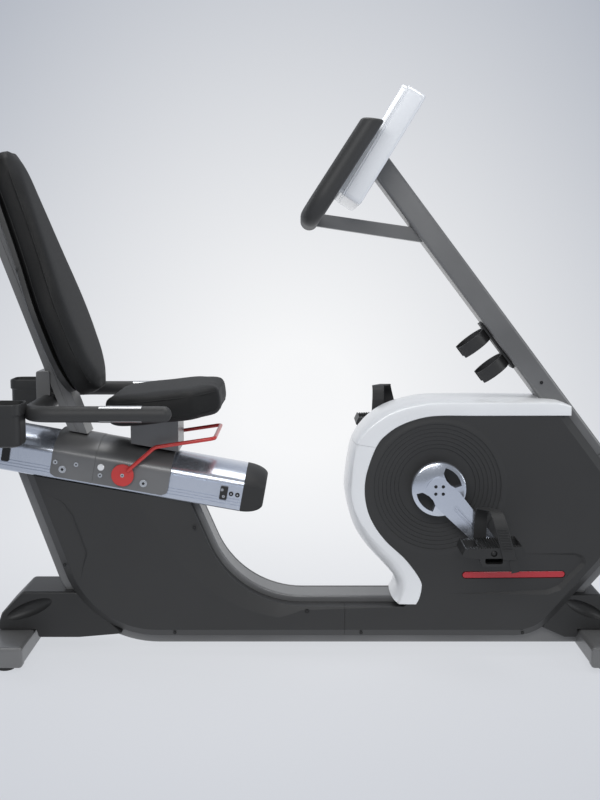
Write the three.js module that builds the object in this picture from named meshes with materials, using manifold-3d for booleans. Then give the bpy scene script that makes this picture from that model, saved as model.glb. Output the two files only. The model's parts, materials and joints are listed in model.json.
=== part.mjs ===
// Recumbent exercise bike: a seat on a sloping rail at the back, pedals and a flywheel in a
// housing at the front, and a slanted mast that carries the console and its handlebar.
// Units are millimetres. +X points to the front, +Y to the left side, +Z up, floor at Z = 0.
import * as THREE from "three";
import { mergeVertices } from "three/addons/utils/BufferGeometryUtils.js";
import Module from "manifold-3d";

const wasm = await Module();
wasm.setup();

// ---------------------------------------------------------------- driving dimensions
const overallLength = 1590;
const meetingGap = 0.3; // left between two solids that touch
const slidingGap = 0.6; // left between two solids that move on each other

// frame tubes
const tubeHalfWidth = 48;
const tubeDepth = 50;
const tubeWall = 4;
const frameBottom = 21;
const rearSlope = 70.3; // degrees above the floor
const rearBendRadius = 262;
const stepHeight = 138;
const stepSlope = 66.6;
const stepBendRadius = 228;
const noseBendRadius = 224;
const noseSlope = 49;

// mast
const mastSlope = 52.7;
const mastDepth = 53;
const mastHalfWidth = tubeHalfWidth - 3;
const mastLength = 958; // from the nose corner to the height of the console's lower edge
const consoleAhead = 186; // from the mast's front face there to the console's lower edge

// crank and pedals
const crankHeight = 417.5;
const crankToNose = 468;
const crankLength = 165;
const crankAngle = -47.6; // right arm, degrees above the front horizontal
const crankDiscRadius = 65;
const crankInnerFace = 104;
const crankOuterFace = 134;
const spindleRadius = 6.5;
const axleRadius = 12;
const pedalInner = 150;
const pedalOuter = 250;
const pedalHalfLength = 71;

// covers
const coverHalfWidth = 92;
const coverWall = 4;
const coverChamfer = 22;
const coverFrontRadius = 140; // of the covers' lower front corner
const coverInset = 25; // the rear, bottom and front tubes stand proud of the covers by this much
const stepInset = 14; // and the step tube by this much
const coverSeamX = -219; // seam between the rear and front covers, from the crank
const shroudHalfWidth = 90;
const shroudCrown = 7;
const shroudTop = 619;
const shroudBand = 30;
const hubRecessRadius = 152;
const hubRecessFloor = 91;
const hubRecessDepth = 12;

// rail and seat slide
const railTilt = 10.2;
const railHalfWidth = 92;
const railSideHeight = 62;
const railHeight = 101;
const railWall = 5;
const railCapLength = 52;
const railFrontHeight = 358.6;
const railFrontToCrank = -472;
const carriageRear = -458; // along the rail, from the rail's front end
const carriageFront = -176;
const carriageGap = 5;
const carriageWall = 4;

// seat, backrest and side handles
const seatHalfWidth = 188;
const seatThickness = 70;
const seatTilt = 6.2;
const backrestSlope = 69.8;
const backrestLength = 590;
const backPadThickness = 55;
const backShellThickness = 18;
const postDepth = 40;
const postHalfWidth = 42;
const handleRadius = 18.5;
const handleHalfSpan = 264;
const handleHeight = 615;
const handleBend = 60;
const handleLength = 324;
const trayWall = 3;
const trayWidth = 90;
const trayLength = 156;
const trayDepth = 96;

// release lever
const leverRodRadius = 5;
const leverHalfSpan = railHalfWidth + 20;
const leverDiscRadius = 26.5;

// console
const consoleSlope = 58.5;
const consoleLength = 280;
const consoleHalfWidth = 187;
const consoleThickness = 47;
const bezelThickness = 12;
const keyRadius = 8;
const keyTravel = 1.5;
const keySpacing = 48;
const hornRadius = 22.5;
const hornHalfSpan = 232;

// stabilisers
const stabilizerHalfSpan = 205;
const stabilizerHalfWidth = 45;
const stabilizerBottom = 12;
const stabilizerTop = 60;
const footRadius = 22;
const footHalfSpan = 172;
const footStemRadius = 6;
const wheelRadius = 20;
const wheelHalfSpan = 110;
const wheelWidth = 26;

// drive
const flywheelRadius = 122;
const flywheelHalfWidth = 18;
const drivePulleyRadius = 96;
const flywheelPulleyRadius = 19;
const idlerRadius = 22;
const beltInner = 54;
const beltOuter = 66;
const beltThickness = 4;

// bottle holder
const bottleRingOuter = 43;
const bottleRingWall = 4;
const bottleBand = 30;
const bottlePitch = 76;

// ---------------------------------------------------------------- places worked out from them
const noseX = overallLength / 2;
const rearX = -overallLength / 2;
const crankX = noseX - crankToNose;
const seamX = crankX + coverSeamX;
const railFrontX = crankX + railFrontToCrank;
const rad = THREE.MathUtils.degToRad;

// ---------------------------------------------------------------- small tools
function turned(x, z, angle) {
  return [x * Math.cos(rad(angle)) - z * Math.sin(rad(angle)),
    x * Math.sin(rad(angle)) + z * Math.cos(rad(angle))];
}

// a solid from a closed three.js geometry
function solidOf(geometry) {
  const bare = geometry.clone();
  bare.deleteAttribute("normal");
  bare.deleteAttribute("uv");
  const merged = mergeVertices(bare, 1e-4);
  const vertProperties = new Float32Array(merged.attributes.position.array);
  const triVerts = new Uint32Array(merged.index.array);
  return new wasm.Manifold(new wasm.Mesh({ numProp: 3, vertProperties, triVerts }));
}

function geometryOf(solid) {
  const mesh = solid.getMesh();
  const geometry = new THREE.BufferGeometry();
  geometry.setAttribute("position", new THREE.BufferAttribute(new Float32Array(mesh.vertProperties), 3));
  geometry.setIndex(new THREE.BufferAttribute(new Uint32Array(mesh.triVerts), 1));
  geometry.computeVertexNormals();
  return geometry;
}

const add = (first, ...others) => others.reduce((sum, other) => sum.add(other), first);
const cut = (first, ...others) => others.reduce((rest, other) => rest.subtract(other), first);
const keep = (first, ...others) => others.reduce((rest, other) => rest.intersect(other), first);

const shapeOf = (points) => new THREE.Shape(points.map(([x, z]) => new THREE.Vector2(x, z)));

// corners given as [x, z, radius] become a list of points with round corners
function rounded(corners, closed = false, step = 11) {
  const points = [];
  corners.forEach(([x, z, radius = 0], index) => {
    const isEnd = !closed && (index === 0 || index === corners.length - 1);
    if (isEnd || radius === 0) {
      points.push([x, z]);
      return;
    }
    const here = new THREE.Vector2(x, z);
    const before = corners[(index + corners.length - 1) % corners.length];
    const after = corners[(index + 1) % corners.length];
    const back = new THREE.Vector2(before[0], before[1]).sub(here).normalize();
    const ahead = new THREE.Vector2(after[0], after[1]).sub(here).normalize();
    const halfAngle = Math.acos(THREE.MathUtils.clamp(back.dot(ahead), -1, 1)) / 2;
    const middle = back.clone().add(ahead).normalize().multiplyScalar(radius /
      Math.sin(halfAngle)).add(here);
    const start = back.clone().multiplyScalar(radius / Math.tan(halfAngle)).add(here).sub(middle);
    const turn = (Math.PI - 2 * halfAngle) * Math.sign(ahead.cross(back) || 1);
    const steps = Math.max(2, Math.ceil(Math.abs(turn) / rad(step)));
    for (let i = 0; i <= steps; i += 1) {
      const spoke = start.clone().rotateAround(new THREE.Vector2(), (turn * i) / steps);
      points.push([middle.x + spoke.x, middle.y + spoke.y]);
    }
  });
  return points;
}

// the same line moved sideways, to its left for a positive distance
function offset(points, distance) {
  const heading = (from, to) => new THREE.Vector2(to[0] - from[0], to[1] - from[1]).normalize();
  const lastStart = points.length - 2;
  return points.map(([x, z], index) => {
    const before = Math.max(index - 1, 0);
    const after = Math.min(index, lastStart);
    const inward = heading(points[before], points[before + 1]);
    const outward = heading(points[after], points[after + 1]);
    const along = inward.add(outward).normalize();
    const shift = distance / Math.max(along.dot(outward), 0.5);
    return [x - along.y * shift, z + along.x * shift];
  });
}

const spline = (points, steps) => new THREE.SplineCurve(points.map(([x, z]) => new THREE.Vector2(x, z)))
  .getSpacedPoints(steps).map((point) => [point.x, point.y]);

// a side outline (x, z) made solid between two values of y, with an optional edge bevel
function slab(points, yLow, yHigh, edge = 0, edgeSteps = 1) {
  const settings = { depth: yHigh - yLow - 2 * edge, bevelEnabled: edge > 0, curveSegments: 4 };
  Object.assign(settings, { bevelThickness: edge, bevelSize: edge, bevelOffset: -edge,
    bevelSegments: edgeSteps });
  const geometry = new THREE.ExtrudeGeometry(shapeOf(points), settings);
  geometry.rotateX(Math.PI / 2);
  geometry.translate(0, yHigh - edge, 0);
  return solidOf(geometry);
}

// local x runs to the left (+Y), local y along `up`, local z along `run`, both in the X-Z plane:
// at angle 0 `run` is +X and `up` is +Z, and a positive angle dips `run` towards the floor
function placed(geometry, x, z, angle) {
  const run = new THREE.Vector3(Math.cos(rad(angle)), 0, -Math.sin(rad(angle)));
  const up = new THREE.Vector3(Math.sin(rad(angle)), 0, Math.cos(rad(angle)));
  const matrix = new THREE.Matrix4().makeBasis(new THREE.Vector3(0, 1, 0), up, run);
  matrix.setPosition(x, 0, z);
  return geometry.clone().applyMatrix4(matrix);
}

function section(points, depth, edge = 0, edgeSteps = 2) {
  const settings = { depth: depth - 2 * edge, bevelEnabled: edge > 0, curveSegments: 4 };
  Object.assign(settings, { bevelThickness: edge, bevelSize: edge, bevelOffset: -edge,
    bevelSegments: edgeSteps });
  return new THREE.ExtrudeGeometry(shapeOf(points), settings).translate(0, 0, edge);
}

// a round bar along Y
function bar(radius, x, z, yLow, yHigh, sides = 24) {
  const geometry = new THREE.CylinderGeometry(radius, radius, yHigh - yLow, sides);
  geometry.translate(x, (yLow + yHigh) / 2, z);
  return solidOf(geometry);
}

// a round hole along Y whose flats, not corners, lie at the radius
const hole = (radius, x, z, yLow, yHigh, sides = 16) => bar(radius / Math.cos(Math.PI / sides), x, z,
  yLow, yHigh, sides);

function block(x0, x1, y0, y1, z0, z1) {
  const geometry = new THREE.BoxGeometry(x1 - x0, y1 - y0, z1 - z0);
  geometry.translate((x0 + x1) / 2, (y0 + y1) / 2, (z0 + z1) / 2);
  return solidOf(geometry);
}

// a profile of [radius, height] turned about the Z axis
function turnedPart(profile, sides = 32) {
  return new THREE.LatheGeometry(profile.map(([r, h]) => new THREE.Vector2(r, h)),
    sides).rotateX(Math.PI / 2);
}

// a closed skin over rings of points, each ring as long as the others and star-shaped
function loft(rings) {
  const sides = rings[0].length;
  const middleOf = (ring) => ring.reduce((sum, point) => sum.add(point),
    new THREE.Vector3()).divideScalar(sides);
  const points = [...rings.flat(), middleOf(rings[0]), middleOf(rings[rings.length - 1])];
  const index = [];
  const lastRing = (rings.length - 1) * sides;
  for (let i = 0; i < sides; i += 1) {
    const next = (i + 1) % sides;
    for (let ring = 0; ring < lastRing; ring += sides) {
      index.push(ring + i, ring + next, ring + next + sides, ring + i, ring + next + sides,
        ring + i + sides);
    }
    index.push(rings.length * sides, next, i);
    index.push(rings.length * sides + 1, lastRing + i, lastRing + next);
  }
  const geometry = new THREE.BufferGeometry();
  geometry.setAttribute("position",
    new THREE.Float32BufferAttribute(points.flatMap((point) => point.toArray()), 3));
  geometry.setIndex(index);
  return solidOf(geometry);
}

// a round tube along a line of points with round corners, given in space
function bentRod(corners, radius, sides = 12, cornerSteps = 5) {
  const path = new THREE.CurvePath();
  let last = new THREE.Vector3(...corners[0].at);
  corners.forEach(({ at, bend = 0 }, index) => {
    const here = new THREE.Vector3(...at);
    if (index === 0) {
      return;
    }
    if (index === corners.length - 1 || bend === 0) {
      path.add(new THREE.LineCurve3(last, here));
      last = here;
      return;
    }
    const back = last.clone().sub(here).normalize();
    const ahead = new THREE.Vector3(...corners[index + 1].at).sub(here).normalize();
    const start = here.clone().addScaledVector(back, bend);
    const end = here.clone().addScaledVector(ahead, bend);
    path.add(new THREE.LineCurve3(last, start));
    path.add(new THREE.QuadraticBezierCurve3(start, here, end));
    last = end;
  });
  const samples = path.curves.flatMap((curve, index) => {
    const steps = curve instanceof THREE.LineCurve3 ? 1 : cornerSteps;
    return curve.getPoints(steps).slice(index === 0 ? 0 : 1);
  });
  const rings = samples.map((point, index) => {
    const before = samples[Math.max(index - 1, 0)];
    const after = samples[Math.min(index + 1, samples.length - 1)];
    return { point, along: after.clone().sub(before).normalize() };
  });
  let side = new THREE.Vector3(0, 0, 1);
  return loft(rings.map(({ point, along }) => {
    side = side.clone().addScaledVector(along, -side.dot(along)).normalize();
    const across = new THREE.Vector3().crossVectors(along, side);
    return Array.from({ length: sides }, (_, i) => {
      const angle = (2 * Math.PI * i) / sides;
      const rim = point.clone().addScaledVector(side, radius * Math.cos(angle));
      return rim.addScaledVector(across, radius * Math.sin(angle));
    });
  }));
}

// ---------------------------------------------------------------- finishes
const finishes = {
  darkPaint: new THREE.MeshStandardMaterial({ color: 0x5a5a5c, roughness: 0.45, metalness: 0.3 }),
  coverPlastic: new THREE.MeshStandardMaterial({ color: 0x3a3a3b, roughness: 0.6, metalness: 0 }),
  silverPlastic: new THREE.MeshStandardMaterial({ color: 0xc9ccd0, roughness: 0.35, metalness: 0.1 }),
  railAluminium: new THREE.MeshStandardMaterial({ color: 0xc4cad6, roughness: 0.3, metalness: 0.9 }),
  greyPaint: new THREE.MeshStandardMaterial({ color: 0x626262, roughness: 0.5, metalness: 0.2 }),
  redPaint: new THREE.MeshStandardMaterial({ color: 0xd8433f, roughness: 0.4, metalness: 0.1 }),
  blackRubber: new THREE.MeshStandardMaterial({ color: 0x262627, roughness: 0.8, metalness: 0 }),
  blackVinyl: new THREE.MeshStandardMaterial({ color: 0x1d1d1e, roughness: 0.7, metalness: 0 }),
  blackPlastic: new THREE.MeshStandardMaterial({ color: 0x2c2c2e, roughness: 0.55, metalness: 0 }),
  castSteel: new THREE.MeshStandardMaterial({ color: 0x70757c, roughness: 0.4, metalness: 0.9 }),
  polishedAlloy: new THREE.MeshStandardMaterial({ color: 0xb9c0cc, roughness: 0.25, metalness: 0.95 }),
};

const meshes = {};
function piece(name, form, finish) {
  const geometry = form instanceof THREE.BufferGeometry ? form : geometryOf(form);
  const material = finishes[finish].clone();
  material.name = finish;
  const mesh = new THREE.Mesh(geometry, material);
  mesh.name = name;
  meshes[name] = mesh;
  return mesh;
}

// ---------------------------------------------------------------- lines of the frame
const slopeShift = (height, slope) => height / Math.tan(rad(slope));
const rearCornerX = rearX + 265.6; // where the rear tube's outer line would meet the frame's bottom line
// how far the rear tube's line is drawn up, so that it always crosses the rail that trims it
const rearRise = railFrontHeight + (railFrontX - rearX) * Math.tan(rad(railTilt)) + 60 - frameBottom;
const rearLine = [rearCornerX - slopeShift(rearRise, rearSlope), frameBottom + rearRise];
const stepCornerX = seamX - 253;
const stepLine = [stepCornerX - slopeShift(400, stepSlope), stepHeight + 400];
const lowerFrontCornerX = noseX - 209.4;
const noseCornerX = noseX + (1 / Math.sin(rad((mastSlope + noseSlope) / 2)) - 1) * noseBendRadius;
const noseCornerZ = frameBottom + (noseCornerX - lowerFrontCornerX) * Math.tan(rad(noseSlope));
const mastFoot = [noseCornerX, noseCornerZ];
const [mastDownX, mastDownZ] = [Math.cos(rad(mastSlope)), -Math.sin(rad(mastSlope))];
const onMastFront = (distance) => [mastFoot[0] - mastDownX * distance,
  mastFoot[1] - mastDownZ * distance];

const rearOutline = (inset) => offset(
  rounded([rearLine, [rearCornerX, frameBottom, rearBendRadius], [seamX, frameBottom]]), inset);
const stepOutline = (inset) => offset(
  rounded([stepLine, [stepCornerX, stepHeight, stepBendRadius], [crankX - 102, stepHeight]]), -inset);
const noseOutline = (inset) => offset(
  rounded([[lowerFrontCornerX, frameBottom], [noseCornerX, noseCornerZ, noseBendRadius],
    onMastFront(700)]), inset);

// ---------------------------------------------------------------- rail
const onRail = (along, height) => {
  const [x, z] = turned(along, height, -railTilt);
  return [railFrontX + x, railFrontHeight + z];
};
const railRearAlong = (rearX + railCapLength - railFrontX) / Math.cos(rad(railTilt));

function archOutline(halfWidth, sideHeight, height, bottom = 0, steps = 10) {
  const points = [[-halfWidth, bottom], [halfWidth, bottom]];
  for (let i = 0; i <= steps; i += 1) {
    const angle = (Math.PI * i) / steps;
    points.push([halfWidth * Math.cos(angle), sideHeight + (height - sideHeight) * Math.sin(angle)]);
  }
  return points;
}

const railPrism = (outline, start, end) => solidOf(
  placed(section(outline, end - start), ...onRail(start, 0), railTilt));

// everything above a line parallel to the rail's underside, `gap` below it
function aboveRail(gap) {
  const corners = [onRail(-1200, -gap), onRail(40, -gap), onRail(40, 600), onRail(-1200, 600)];
  return slab(corners, -400, 400);
}

function makeRail() {
  const outer = archOutline(railHalfWidth, railSideHeight, railHeight);
  const inner = archOutline(railHalfWidth - railWall, railSideHeight, railHeight - railWall, railWall);
  const rail = cut(railPrism(outer, railRearAlong, 0), railPrism(inner, railRearAlong - 1, 1));
  piece("seat_rail", rail, "railAluminium");
  const capOutline = archOutline(railHalfWidth, railSideHeight, railHeight);
  for (const end of ["front", "rear"]) {
    const towards = end === "front" ? 1 : -1;
    const face = end === "front" ? meetingGap : railRearAlong - meetingGap;
    const rings = [0, 0.3, 0.55, 0.75, 0.9, 1].map((share) => {
      const shrink = 1 - 0.38 * (1 - Math.sqrt(1 - (0.985 * share) ** 2));
      return capOutline.map(([y, h]) => {
        const [x, z] = onRail(face + towards * share * railCapLength,
          railHeight / 2 + (h - railHeight / 2) * shrink);
        return new THREE.Vector3(x, y * (1 - 0.5 * (1 - shrink)), z);
      });
    });
    const cap = loft(end === "front" ? rings : rings.reverse());
    piece(`rail_cap_${end}`, cap, "blackRubber");
  }
  // a stop block inside reach of the carriage at each end of its travel, on the rail's right side
  const stopCentres = { front: -44, rear: railRearAlong + 40 };
  for (const [end, along] of Object.entries(stopCentres)) {
    const corners = [[-9, 22], [9, 22], [9, 54], [-9, 54]].map(([s, h]) => onRail(along + s, h));
    piece(`rail_stop_${end}`, slab(corners, -railHalfWidth - 6, -railHalfWidth - meetingGap),
      "blackRubber");
  }
}

// ---------------------------------------------------------------- frame tubes
function mastPrism(grow, start, end) {
  const corners = [[-mastHalfWidth - grow, -mastDepth - grow], [mastHalfWidth + grow, -mastDepth - grow],
    [mastHalfWidth + grow, grow], [-mastHalfWidth - grow, grow]];
  const outline = rounded(corners.map(([y, n]) => [y, n, 12]), true, 30);
  return solidOf(placed(section(outline, end - start), ...onMastFront(end), mastSlope));
}

const [mastTopX, mastTopZ] = onMastFront(mastLength);
const consoleFoot = [mastTopX - consoleAhead, mastTopZ];
const onConsole = (up, back) => {
  const [x, z] = turned(up, back, consoleSlope);
  return [consoleFoot[0] + x, consoleFoot[1] + z];
};

function makeTubes() {
  const rearOuter = rearOutline(0);
  const bottomEnd = noseX - 115 - meetingGap;
  const rearTube = slab([...rearOuter, [bottomEnd, frameBottom], [bottomEnd, frameBottom + tubeDepth],
    ...rearOutline(tubeDepth).reverse()], -tubeHalfWidth, tubeHalfWidth, 5);
  const rearBore = slab([...rearOutline(tubeWall), [bottomEnd + 50, frameBottom + tubeWall],
    [bottomEnd + 50, frameBottom + tubeDepth - tubeWall], ...rearOutline(tubeDepth - tubeWall).reverse()],
  -tubeHalfWidth + tubeWall, tubeHalfWidth - tubeWall);
  piece("rear_bottom_tube", cut(rearTube, aboveRail(meetingGap), rearBore), "greyPaint");

  const stepEnd = crankX - 36;
  const stepTube = slab([...stepOutline(0), [stepEnd, stepHeight], [stepEnd, stepHeight - tubeDepth],
    ...stepOutline(tubeDepth).reverse()], -tubeHalfWidth, tubeHalfWidth, 5);
  const stepBore = slab([...stepOutline(tubeWall), [stepEnd + 50, stepHeight - tubeWall],
    [stepEnd + 50, stepHeight - tubeDepth + tubeWall], ...stepOutline(tubeDepth - tubeWall).reverse()],
  -tubeHalfWidth + tubeWall, tubeHalfWidth - tubeWall);
  piece("step_tube", cut(stepTube, aboveRail(meetingGap), stepBore), "greyPaint");

  const mastSplit = 205;
  const mastReach = mastLength + 172; // past the console's back, which trims it
  const consoleBack = slab([onConsole(-400, -consoleThickness - meetingGap), onConsole(900,
    -consoleThickness
    - meetingGap), onConsole(900, 600), onConsole(-400, 600)], -300, 300);
  const mast = cut(mastPrism(0, mastSplit, mastReach), consoleBack, mastPrism(-tubeWall, mastSplit - 10,
    mastReach + 70));
  piece("mast_tube", mast, "greyPaint");

  const noseCorners = [...noseOutline(0), ...noseOutline(tubeDepth).reverse()];
  const belowMast = slab([onMastFront(mastSplit - meetingGap), onMastFront(-200), [noseX + 200, -200],
    [crankX, -200],
    [crankX, crankHeight], offset([onMastFront(mastSplit - meetingGap), onMastFront(0)], -200)[0]],
      -200, 200);
  const aboveBottomTube = block(crankX, noseX + 200, -100, 100, frameBottom + tubeDepth + meetingGap,
    900);
  const noseBore = slab([...noseOutline(tubeWall), ...noseOutline(tubeDepth - tubeWall).reverse()],
    -tubeHalfWidth + tubeWall, tubeHalfWidth - tubeWall);
  const noseBlank = cut(slab(noseCorners, -tubeHalfWidth, tubeHalfWidth, 5), noseBore);
  const noseTube = keep(noseBlank, belowMast, aboveBottomTube);
  piece("nose_tube", noseTube, "greyPaint");

  const postHalf = 30;
  const post = add(block(crankX - postHalf, crankX + postHalf, -postHalf, postHalf,
    frameBottom + tubeDepth + meetingGap, crankHeight), bar(34, crankX, crankHeight, -tubeHalfWidth,
      tubeHalfWidth, 20));
  const postBore = block(crankX - postHalf + tubeWall, crankX + postHalf - tubeWall, -postHalf + tubeWall,
    postHalf - tubeWall, 0, crankHeight - 40);
  piece("bottom_bracket", cut(post, postBore, hole(axleRadius + slidingGap, crankX, crankHeight, -60,
    60, 14)), "greyPaint");
}

// ---------------------------------------------------------------- covers and shrouds
const fromCrank = (points) => points.map(([x, z]) => [crankX + x, crankHeight + z]);

// the shroud's outer crease, from its top front end round the back down to its foot on the step tube
const shroudOuter = [
  [crankX + 273, shroudTop],
  ...spline(fromCrank([[3, 201.5], [-44, 197], [-91, 184], [-131, 165], [-171, 131.5], [-197, 88],
    [-204.5, 16],
    [-203, -32.5], [-184, -80.5], [-155, -122], [-116, -162], [-84, -198], [-72, -232], [-80, -262],
    [-100, -278.5]]), 24),
];
const shroudInner = [
  [crankX + 286, shroudTop - shroudBand],
  ...spline(fromCrank([[3, 171.5], [-44, 165], [-91, 148], [-124, 125], [-142, 103.5], [-159, 65],
    [-172, 17],
    [-171.5, -31.5], [-157, -80], [-124, -129], [-73, -178], [-38, -227], [-35.5, -252], [-42,
      -278.5]]), 24),
];
const shroudFrontEnd = [[crankX + 306, shroudTop - 19], [crankX + 294, shroudTop - 7]];

function bodyOutline() {
  const perimeter = offset(rounded([rearLine, [rearCornerX, frameBottom, rearBendRadius],
    [lowerFrontCornerX, frameBottom, coverFrontRadius], [noseCornerX, noseCornerZ, noseBendRadius],
      onMastFront(700)]),
  coverInset);
  const belowShroud = perimeter.filter(([x, z]) => x < seamX || z < shroudTop - 60);
  const mastLineEnd = offset([onMastFront(0), onMastFront(700)], coverInset)[1];
  const slopeX = (z) => mastLineEnd[0] + (mastLineEnd[1] - z) / Math.tan(rad(mastSlope));
  return [
    ...belowShroud,
    [slopeX(shroudTop - 15), shroudTop - 15],
    ...shroudOuter.filter(([, z]) => z > stepHeight + 25),
    ...stepOutline(stepInset).reverse(),
  ];
}

// the covers' common form: flat sides with a chamfer all round, as a solid or as its hollow
function coverBody(hollow) {
  const inset = hollow ? coverWall : 0;
  const faceY = coverHalfWidth - inset;
  const settings = { depth: 2 * (faceY - coverChamfer), bevelEnabled: true, bevelSegments: 1 };
  Object.assign(settings, { bevelThickness: coverChamfer, bevelSize: coverChamfer,
    bevelOffset: -coverChamfer - inset });
  const geometry = new THREE.ExtrudeGeometry(shapeOf(bodyOutline()), settings);
  geometry.rotateX(Math.PI / 2);
  geometry.translate(0, faceY - coverChamfer, 0);
  return solidOf(geometry);
}

// a dish that narrows inwards from the cover's face, about the crank's axis, on the left side
function hubDish(grow, start, end) {
  const profile = [[0, 0], [hubRecessFloor + grow, 0], [hubRecessRadius + grow, end - start], [0,
    end - start]];
  const geometry = turnedPart(profile, 32);
  geometry.rotateX(-Math.PI / 2);
  geometry.translate(crankX, start, crankHeight);
  return solidOf(geometry);
}

function makeCovers() {
  const body = cut(coverBody(false), coverBody(true));
  const bodyBelowRail = cut(body, aboveRail(1.5));
  const gap = meetingGap;
  const rearRegion = [[-2000, -100], [seamX - gap, -100], [seamX - gap, 900], [-2000, 900]];
  const innerEdge = offset(shroudInner, gap).reverse();
  const frontRegion = [[seamX + gap, -100], [noseX + 200, -100], [noseX + 200, shroudTop + 80],
    [crankX + 330, shroudTop + 80], [crankX + 307, shroudTop - 20], ...innerEdge.slice().reverse(),
    [crankX - 42, stepHeight - 8], [seamX + gap, stepHeight - 8]];
  const regions = { rear: rearRegion, front: frontRegion };
  for (const [sideName, side] of [["right", -1], ["left", 1]]) {
    const low = side < 0 ? -200 : tubeHalfWidth + gap;
    const high = side < 0 ? -tubeHalfWidth - gap : 200;
    for (const [end, region] of Object.entries(regions)) {
      let cover = keep(bodyBelowRail, slab(region, low, high));
      if (end === "front") {
        const floorY = coverHalfWidth - hubRecessDepth;
        let dishBack = hubDish(coverWall, floorY - coverWall, coverHalfWidth);
        let dish = hubDish(0, floorY, coverHalfWidth + 0.01);
        if (side < 0) {
          dishBack = dishBack.mirror([0, 1, 0]);
          dish = dish.mirror([0, 1, 0]);
        }
        const clipped = keep(dishBack, slab(region, low, high));
        cover = cut(add(cover, clipped), dish, bar(axleRadius + 12, crankX, crankHeight, -100, 100, 16));
      }
      piece(`${end}_cover_${sideName}`, cover, "coverPlastic");
    }
  }
}

function makeShrouds() {
  const closing = [[crankX + 286, stepHeight + 1]];
  const full = [...shroudOuter, ...closing, [crankX + 286, shroudTop - shroudBand], ...shroudFrontEnd];
  const crowned = new THREE.ExtrudeGeometry(shapeOf(full), {
    depth: 2, bevelEnabled: true, bevelThickness: shroudHalfWidth - 1, bevelSize: shroudCrown,
      bevelOffset: 0,
    bevelSegments: 3,
  });
  crowned.rotateX(Math.PI / 2).translate(0, 1, 0);
  const band = slab([...shroudOuter, ...shroudInner.slice().reverse(), ...shroudFrontEnd], -200, 200);
  const bandGrown = [...offset(shroudOuter, -30), ...shroudInner.slice().reverse(), ...shroudFrontEnd
    .map(([x, z]) => [x + 6, z + 30])];
  const outer = keep(solidOf(crowned), add(band, slab(bandGrown, -200, 200)));
  const wall = 5;
  const cavity = [...offset(shroudOuter, wall), ...offset(shroudInner, wall * 3).reverse()];
  const hollow = slab(cavity, -shroudHalfWidth + wall, shroudHalfWidth - wall);
  const aboveStep = block(-900, 900, -200, 200, stepHeight + meetingGap, 900);
  const shell = cut(keep(outer, aboveStep), hollow, mastPrism(3, 150, 900));
  const seam = [[crankX - 260, crankHeight + 114], [crankX - 110, crankHeight + 90.6]];
  const below = slab([...seam.map(([x, z]) => [x, z - meetingGap]), [crankX + 60, crankHeight + 66],
    [crankX + 60, 0], [crankX - 260, 0]], -200, 200);
  const above = slab([...seam.map(([x, z]) => [x, z + meetingGap]), [crankX + 60, crankHeight + 66],
    [crankX + 400, crankHeight + 66], [crankX + 400, 800], [crankX - 260, 800]], -200, 200);
  piece("lower_shroud", keep(shell, below), "silverPlastic");
  piece("upper_shroud", keep(shell, above), "silverPlastic");
}

// ---------------------------------------------------------------- stabilisers and feet
const stabilizerX = { rear: rearX + 105, front: noseX - 70 };

function makeStabilizers() {
  const [low, high] = [stabilizerBottom, stabilizerTop];
  for (const [end, x] of Object.entries(stabilizerX)) {
    const corners = [[-stabilizerHalfWidth, low], [stabilizerHalfWidth, low], [stabilizerHalfWidth, high],
      [-stabilizerHalfWidth, high]];
    const outline = rounded(corners.map(([dx, z]) => [x + dx, z, 15]), true, 30);
    const boreOutline = outline.map(([px, z]) => [x + (px - x) * (1 - tubeWall / stabilizerHalfWidth),
      (low + high) / 2 + (z - (low + high) / 2) * (1 - (2 * tubeWall) / (high - low))]);
    let beam = cut(slab(outline, -stabilizerHalfSpan, stabilizerHalfSpan),
      slab(boreOutline, -stabilizerHalfSpan + tubeWall, stabilizerHalfSpan - tubeWall));
    for (const [sideName, side] of [["right", -1], ["left", 1]]) {
      const stem = turnedPart([[0, 0], [footStemRadius + slidingGap, 0], [footStemRadius + slidingGap,
        30], [0, 30]], 12);
      beam = cut(beam, solidOf(stem.translate(x, side * footHalfSpan, 0)));
      const foot = turnedPart([[0, 0], [footRadius - 1, 0], [footRadius, 2], [footRadius, 7],
        [footRadius - 5,
        stabilizerBottom - meetingGap], [footStemRadius, stabilizerBottom - meetingGap],
          [footStemRadius, 28], [0, 28]], 16);
      const mesh = piece(`foot_${end}_${sideName}`, foot, "blackRubber");
      mesh.position.set(x, side * footHalfSpan, 0);
      if (end === "front") {
        const wheelX = x + stabilizerHalfWidth - 8;
        const wheelZ = (low + high) / 2;
        const inner = side * wheelHalfSpan - wheelWidth / 2;
        beam = cut(beam, hole(wheelRadius + 3, wheelX, wheelZ, inner - 2, inner + wheelWidth + 2, 16));
        beam = cut(beam, hole(4 + slidingGap, wheelX, wheelZ, inner - 12, inner + wheelWidth + 12, 10));
        const wheel = turnedPart([[0, -10], [4, -10], [4, 0], [wheelRadius, 0], [wheelRadius, wheelWidth],
          [4, wheelWidth], [4, wheelWidth + 10], [0, wheelWidth + 10]], 16);
        const roller = piece(`transport_wheel_${sideName}`, wheel, "blackRubber");
        roller.rotation.x = -Math.PI / 2;
        roller.position.set(wheelX, inner, wheelZ);
      }
    }
    piece(`${end}_stabilizer`, beam, "greyPaint");
  }
}

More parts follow.
